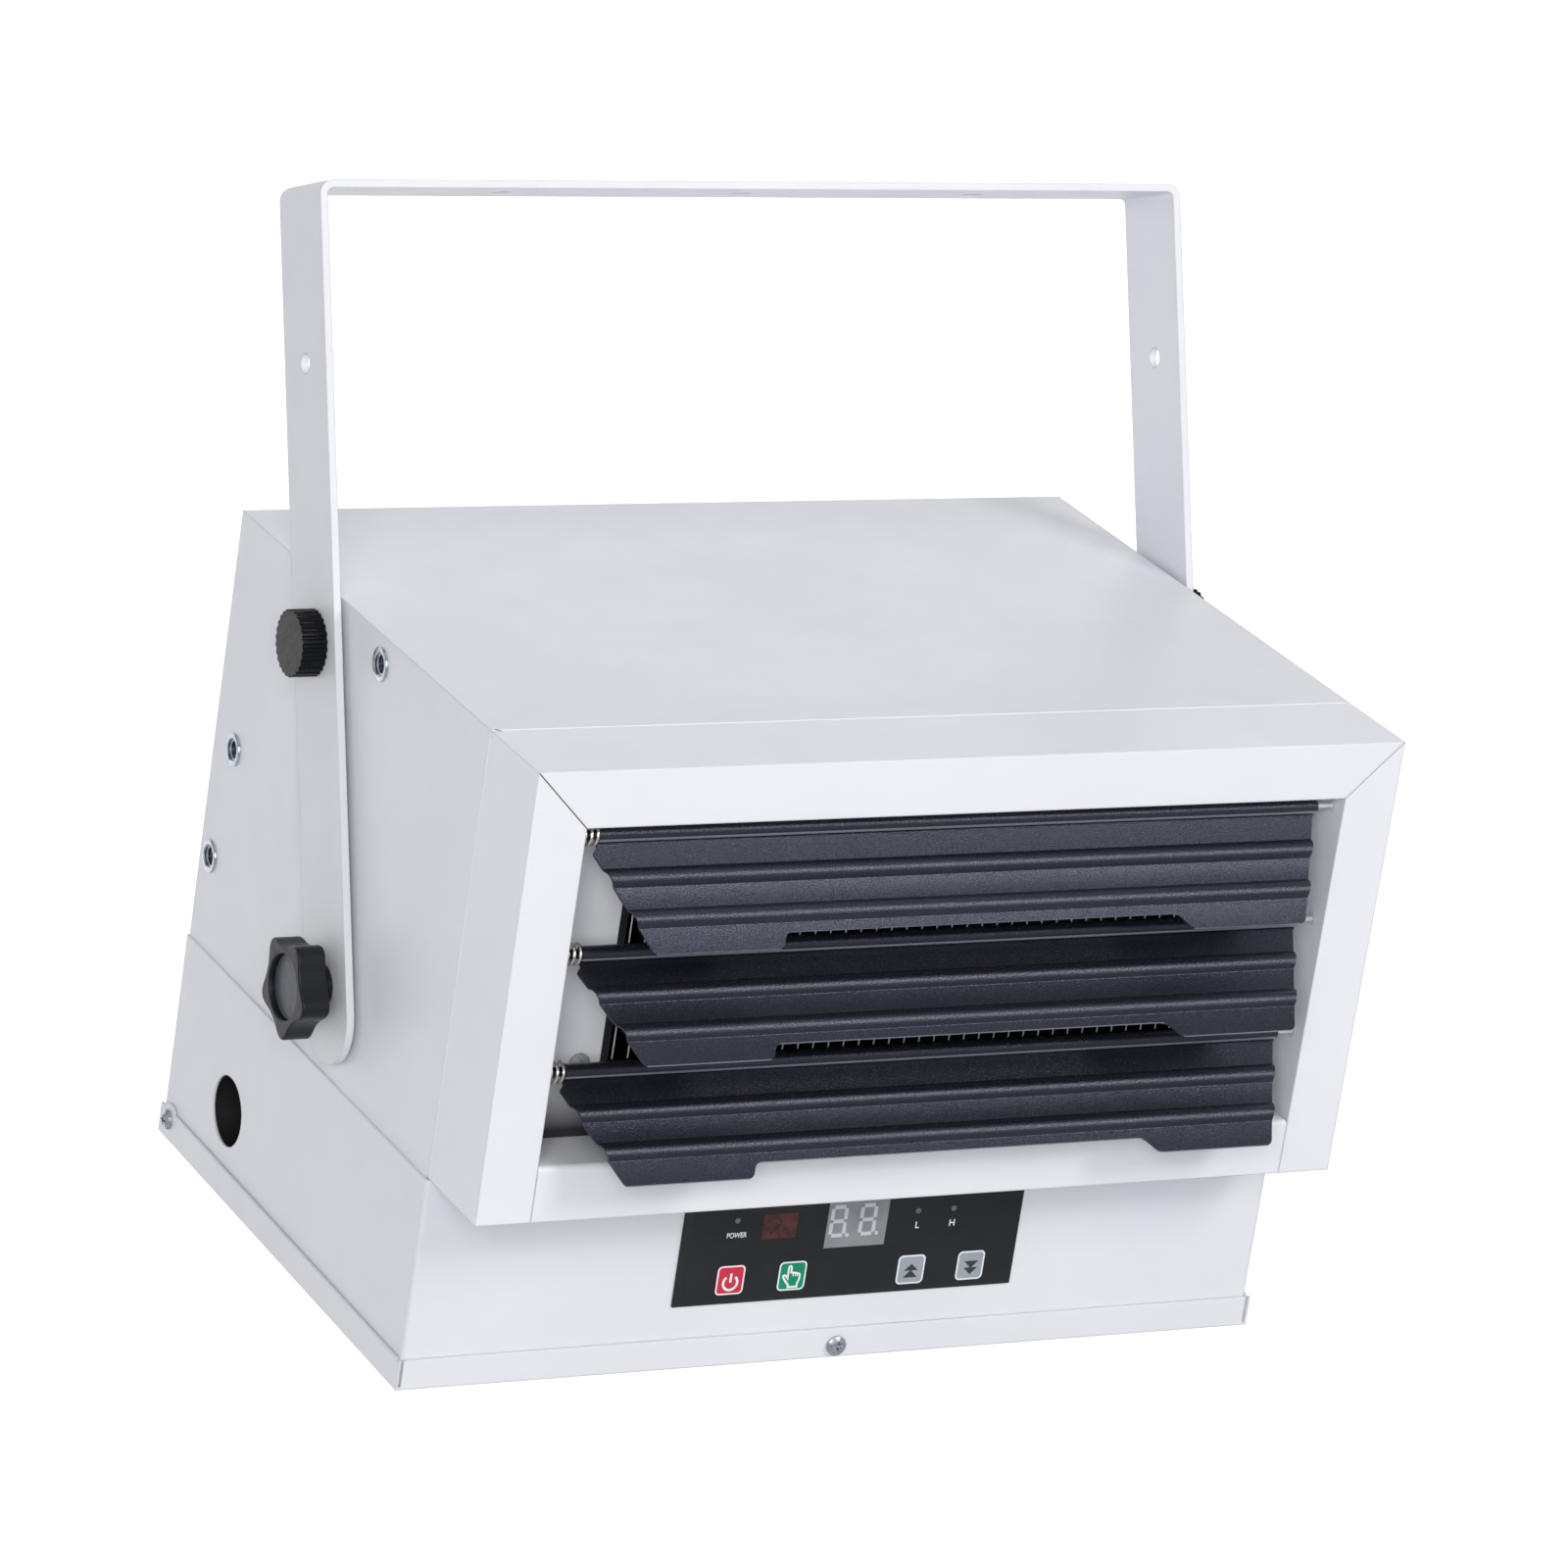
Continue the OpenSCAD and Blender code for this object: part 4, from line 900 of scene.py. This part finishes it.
def flat(obj, name, x, z, ink, body="heater", slot="lens_clear", face=film_front, replaced=()):
    """Stands a flat piece, drawn in X and Y with its back at Z 0, on a face of the panel."""
    settle(obj, name, [("X", 90)], (x, face, z))
    dress(obj, ink, slot, body, *replaced)


def plate_at(width, height, radius, thick, x=0, y=0, low=-0.5):
    """A plate centred on x and y with its back at Z low."""
    piece = plate(width, height, radius, thick)
    piece.location = (x, y, low)
    only(piece)
    bpy.ops.object.transform_apply(location=True)
    return piece


film = plate(144.6, 45, 0.35, 0.8, 3)
combine(film, plate_at(25.8, 20, 0, 2, 1.5, 7.7), "DIFFERENCE")
combine(film, plate_at(14.6, 10.2, 0, 2, -31.4, 8.3), "DIFFERENCE")
round_edges(film, 0.12, 2, 60)
# the keys press into the film, and each has its own place in it
key_places = {"power": (-49.3, -85.8), "mode": (-23.2, -85.8), "raise": (27.8, -86.7), "lower": (53.6, -86.7)}
for x, z in key_places.values():
    combine(film, plate_at(12, 12.3, 2.1, 2, x, z - film_middle), "DIFFERENCE")
flat(film, "membrane_film", 0, film_middle, panel_film, slot="membrane", face=case_front,
     replaced=("membrane_panel",))


def letters(text, name, x, z, height, width=1.0):
    """A word printed in sans-serif capitals, centred on x, its foot at z."""
    ready()
    bpy.ops.object.text_add()
    word = bpy.context.object
    word.data.body = text
    word.data.align_x = "CENTER"
    word.data.size = height / 0.73
    # ink spreads a little past the letter's edge
    word.data.offset = 0.02 * height
    word.data.extrude = 0.03
    word.scale.x = width
    bpy.ops.object.convert(target="MESH")
    flat(bpy.context.object, name, x, z, white_ink)


letters("POWER", "lettering_power", -49.4, -68.4, 2.2, 0.8)
letters("L", "lettering_low", 27.6, -69.5, 2.8)
letters("H", "lettering_high", 42.7, -69.5, 2.8)


# the film's left end is creased, and its shade is painted: a fine dark line beside a darker strip
end_shade = printed_film("film_end_shade", "#131417", "#101114")
crease_shade = printed_film("film_crease_shade", "#0E0F11", "#0B0C0E")
flat(plate(3.4, 44.2, 0, 0.012), "film_end_strip", -70.3, film_middle, end_shade, slot="membrane")
flat(plate(0.3, 44.6, 0, 0.03), "film_end_line", -68.5, film_middle, crease_shade, slot="membrane")


# ---------------------------------------------------------------- Display
# Smoked polyester window over a two-digit LED display, half an inch high: the
# unlit segments show pale.

def smoked_window(name, colour, shade, roughness):
    """Tinted polyester window, smooth on its face, with the lit studio in its gloss."""
    material, tree, shader, where = start(name, roughness, ior=1.57)
    tone = remap(tree, noise(tree, where, 9, 2), 0, 1)
    tree.links.new(blend_colours(tree, tone, linear(shade), linear(colour)), shader.inputs["Base Color"])
    shader.inputs["Coat Weight"].default_value = 0.4
    shader.inputs["Coat Roughness"].default_value = 0.15
    soften(tree, shader, noise(tree, where, 0.5, 1), 0.004, 0.6)
    return material


paint(smoked_window("smoked_polyester", "#93959A", "#84868C", 0.34), "display_window")
segment_ink = printed_film("unlit_segment", "#D3D5D8", "#C9CBCF", 0.5)


def segment(length, width):
    """One bar of a digit: a long hexagon."""
    ready()
    bpy.ops.mesh.primitive_plane_add(size=1)
    bar = bpy.context.object
    bar.scale = (length - width, width, 1)
    bpy.ops.object.transform_apply(scale=True)
    bpy.ops.object.mode_set(mode="EDIT")
    for end in (-1, 1):
        bpy.ops.mesh.select_all(action="DESELECT")
        shape = bmesh.from_edit_mesh(bar.data)
        for edge in shape.edges:
            middle = (edge.verts[0].co + edge.verts[1].co) / 2
            edge.select_set(abs(middle.x - end * (length - width) / 2) < 0.01)
        bmesh.update_edit_mesh(bar.data)
        bpy.ops.mesh.extrude_region_move(TRANSFORM_OT_translate={"value": (end * width / 2, 0, 0)})
        bpy.ops.transform.resize(value=(1, 0.05, 1), center_override=(end * length / 2, 0, 0))
    bpy.ops.mesh.select_all(action="SELECT")
    bpy.ops.mesh.extrude_region_move(TRANSFORM_OT_translate={"value": (0, 0, 0.03)})
    bpy.ops.mesh.select_all(action="SELECT")
    bpy.ops.mesh.normals_make_consistent(inside=False)
    ready()
    return bar


# the seven bars of a digit, as X, Z and turn, and its point
bar = segment(6.1, 1.55)
bar_places = ((0, 5.85, 0), (0, 0, 0), (0, -5.85, 0), (-2.85, 2.95, 90), (2.85, 2.95, 90),
              (-2.85, -2.95, 90), (2.85, -2.95, 90))
for digit, middle in (("tens", -6.6), ("units", 6.0)):
    bars = []
    for x, z, turn in bar_places:
        piece = copy_of(bar)
        piece.matrix_world = Matrix.Translation((x, z, 0)) @ Matrix.Rotation(math.radians(turn), 4, "Z")
        bars.append(piece)
    bars.append(rod(0.75, 0, 0.03, 20, (4.4, -5.9)))
    number = merge(bars)
    flat(number, "digit_" + digit, middle, -64.5, segment_ink, slot="display_face", face=window_front)
bpy.data.objects.remove(bar)


# ---------------------------------------------------------------- Receiver and lights
# A dark red window over the remote's infrared receiver, and three small clear
# lenses over the lights.

def mottled_window(name, colour, shade):
    """Deep red window with the dark cell behind it showing through in patches."""
    material, tree, shader, where = start(name, 0.3, ior=1.57)
    patch = remap(tree, noise(tree, where, 5, 3, 0.6), 0, 1, 0.35, 0.65)
    tree.links.new(blend_colours(tree, patch, linear(shade), linear(colour)), shader.inputs["Base Color"])
    tree.links.new(remap(tree, patch, 0.24, 0.36, 0, 1), shader.inputs["Roughness"])
    soften(tree, shader, noise(tree, where, 0.5, 1), 0.004, 0.6)
    return material


paint(mottled_window("infrared_window", "#602A22", "#341615"), "receiver_window")
lens = rod(1.15, -0.1, 0.2, 32)
round_edges(lens, 0.14, 3, 50)
lenses = []
for x, z in ((-49.8, -61.4), (27.2, -62.3), (42.6, -62.2)):
    twin = copy_of(lens)
    settle(twin, "lens", [("X", 90)], (x, film_front, z))
    lenses.append(twin)
bpy.data.objects.remove(lens)
lenses = merge(lenses)
lenses.name = lenses.data.name = "light_lenses"
dress(lenses, moulded_plastic("clear_lens", "#6F7176", "#64666B", 0.3, 0.4, 0.004), "lens_clear", "heater",
      "indicator_lenses")


# ---------------------------------------------------------------- Buttons
# Embossed domes of the membrane: red power, green mode and two grey arrows,
# each printed with a white border and its sign.

for name, slot, colour, shade in (("power", "power_key", "#CE3049", "#C82A43"),
                                  ("mode", "mode_key", "#049067", "#02865E"),
                                  ("raise", "arrow_key", "#9FA6AE", "#98A0A9"),
                                  ("lower", "arrow_key", "#9FA6AE", "#98A0A9")):
    x, z = key_places[name]
    dome = plate(11.8, 12.1, 2, 0.3)
    round_edges(dome, 0.16, 3, 60)
    key_film = mirrors_less(printed_film(name + "_key_film", colour, shade), 0.35)
    flat(dome, name + "_key", x, z, key_film, name + "_button_body", slot, key_back, (name + "_button",))
    ring = plate(11.6, 11.9, 1.9, 0.05)
    combine(ring, plate_at(10.4, 10.7, 1.4, 1), "DIFFERENCE")
    flat(ring, name + "_key_border", x, z, white_ink, name + "_button_body", face=border_back)


def outline(points, closed, width, name):
    """A printed line of that width through the points, in X and Y."""
    curve = bpy.data.curves.new(name, "CURVE")
    curve.dimensions = "2D"
    curve.fill_mode = "NONE"
    line = curve.splines.new("POLY")
    line.points.add(len(points) - 1)
    for point, (px, py) in zip(line.points, points):
        point.co = (px, py, 0, 1)
    line.use_cyclic_u = closed
    curve.bevel_depth = width / 2
    curve.bevel_resolution = 3
    stroke = bpy.data.objects.new(name, curve)
    bpy.context.collection.objects.link(stroke)
    only(stroke)
    bpy.ops.object.convert(target="MESH")
    stroke = bpy.context.object
    # the round line is pressed flat, like ink
    stroke.scale = (1, 1, 0.08)
    bpy.ops.object.transform_apply(scale=True)
    return stroke


def sign(obj, name, x, z, ink, body):
    """Puts a printed sign on a key's face."""
    settle(obj, name, [("X", 90)], (x, sign_back, z))
    dress(obj, ink, "lens_clear", body)


# power: an open ring with a bar in its gap
turns = [math.radians(degrees) for degrees in range(38, 323, 6)]
ring = outline([(2.95 * math.sin(turn), 2.95 * math.cos(turn)) for turn in turns], False, 1.05, "ring")
stem = outline([(0, 0.2), (0, 3.9)], False, 1.05, "stem")
sign(merge([ring, stem]), "power_sign", -49.2, -86.9, white_ink, "power_button_body")

# mode: the outline of a pointing hand
hand = [(-1.45, -0.4), (-1.45, 3.5), (-1.2, 4.0), (-0.9, 4.15), (-0.6, 4.0), (-0.35, 3.5), (-0.35, 1.6),
        (0.9, 1.4), (2.2, 1.1), (3.0, 0.8), (3.25, 0.2), (3.2, -1.2), (2.6, -2.8), (2.6, -4.2),
        (-0.9, -4.2), (-0.9, -3.3), (-2.0, -2.0), (-3.2, -0.3), (-3.3, 0.3), (-2.8, 0.6), (-2.2, 0.3),
        (-1.45, -0.6)]
palm = outline([(1.08 * x, 1.05 * z) for x, z in hand], True, 0.85, "hand")
knuckles = [outline([(x, high), (x, low)], False, 0.5, "knuckle")
            for x, high, low in ((0.6, 1.2, 0.1), (1.55, 1.0, 0.0), (2.4, 0.8, -0.1))]
sign(merge([palm] + knuckles), "hand_sign", -23.4, -86.0, white_ink, "mode_button_body")


def arrowhead(low, high):
    """A filled triangle 6 mm wide with its base at low and its point at high."""
    ready()
    bpy.ops.mesh.primitive_circle_add(vertices=3, radius=1, fill_type="NGON")
    head = bpy.context.object
    only(head)
    bpy.ops.object.mode_set(mode="EDIT")
    bpy.ops.mesh.select_all(action="SELECT")
    bpy.ops.transform.translate(value=(0, 0.5, 0))
    bpy.ops.transform.resize(value=(6 / math.sqrt(3), (high - low) / 1.5, 1), center_override=(0, 0, 0))
    bpy.ops.transform.translate(value=(0, low, 0))
    bpy.ops.mesh.extrude_region_move(TRANSFORM_OT_translate={"value": (0, 0, 0.03)})
    bpy.ops.mesh.select_all(action="SELECT")
    bpy.ops.mesh.normals_make_consistent(inside=False)
    ready()
    return head


dark_ink = printed_film("dark_screen_ink", "#33363B", "#2E3136", 0.5)
arrows_up = merge([arrowhead(-0.5, 2.2), arrowhead(-3.4, -0.2)])
sign(arrows_up, "raise_sign", 27.9, -86.6, dark_ink, "raise_button_body")
arrows_down = merge([arrowhead(1.7, -1.4), arrowhead(-1.0, -3.9)])
sign(arrows_down, "lower_sign", 53.9, -86.6, dark_ink, "lower_button_body")


# ---------------------------------------------------------------- Boards
# Glass-epoxy circuit boards with green solder mask, behind the panel and on the
# tray, with their relays, transformer and display module.

def solder_mask(name):
    """Green solder mask over copper tracks, which show as lighter lines."""
    material, tree, shader, where = start(name, 0.3, ior=1.55)
    tracks = add(tree, "TexBrick", {"Vector": where, "Scale": 90, "Mortar Size": 0.05,
                                    "Color1": linear("#1A6B3C"), "Color2": linear("#1E7543"),
                                    "Mortar": linear("#0F4A29")})
    tree.links.new(tracks.outputs["Color"], shader.inputs["Base Color"])
    soften(tree, shader, tracks.outputs["Fac"], 0.03, 0.5)
    return material


paint(solder_mask("green_solder_mask"), "control_board", "power_board")
paint(moulded_plastic("display_housing", "#C9CAC8", "#BFC0BE", 0.45), "display_module")
paint(moulded_plastic("blue_relay_case", "#2458A6", "#1F4E95", 0.25, edge=0.4), "power_relays")
paint(moulded_plastic("yellow_winding_tape", "#C9A93C", "#B89932", 0.4, 1.5, 0.05, 0.3), "transformer")
paint(moulded_plastic("ivory_polyamide", "#E4DFCF", "#DAD5C4", 0.45, edge=0.3), "terminal_block")
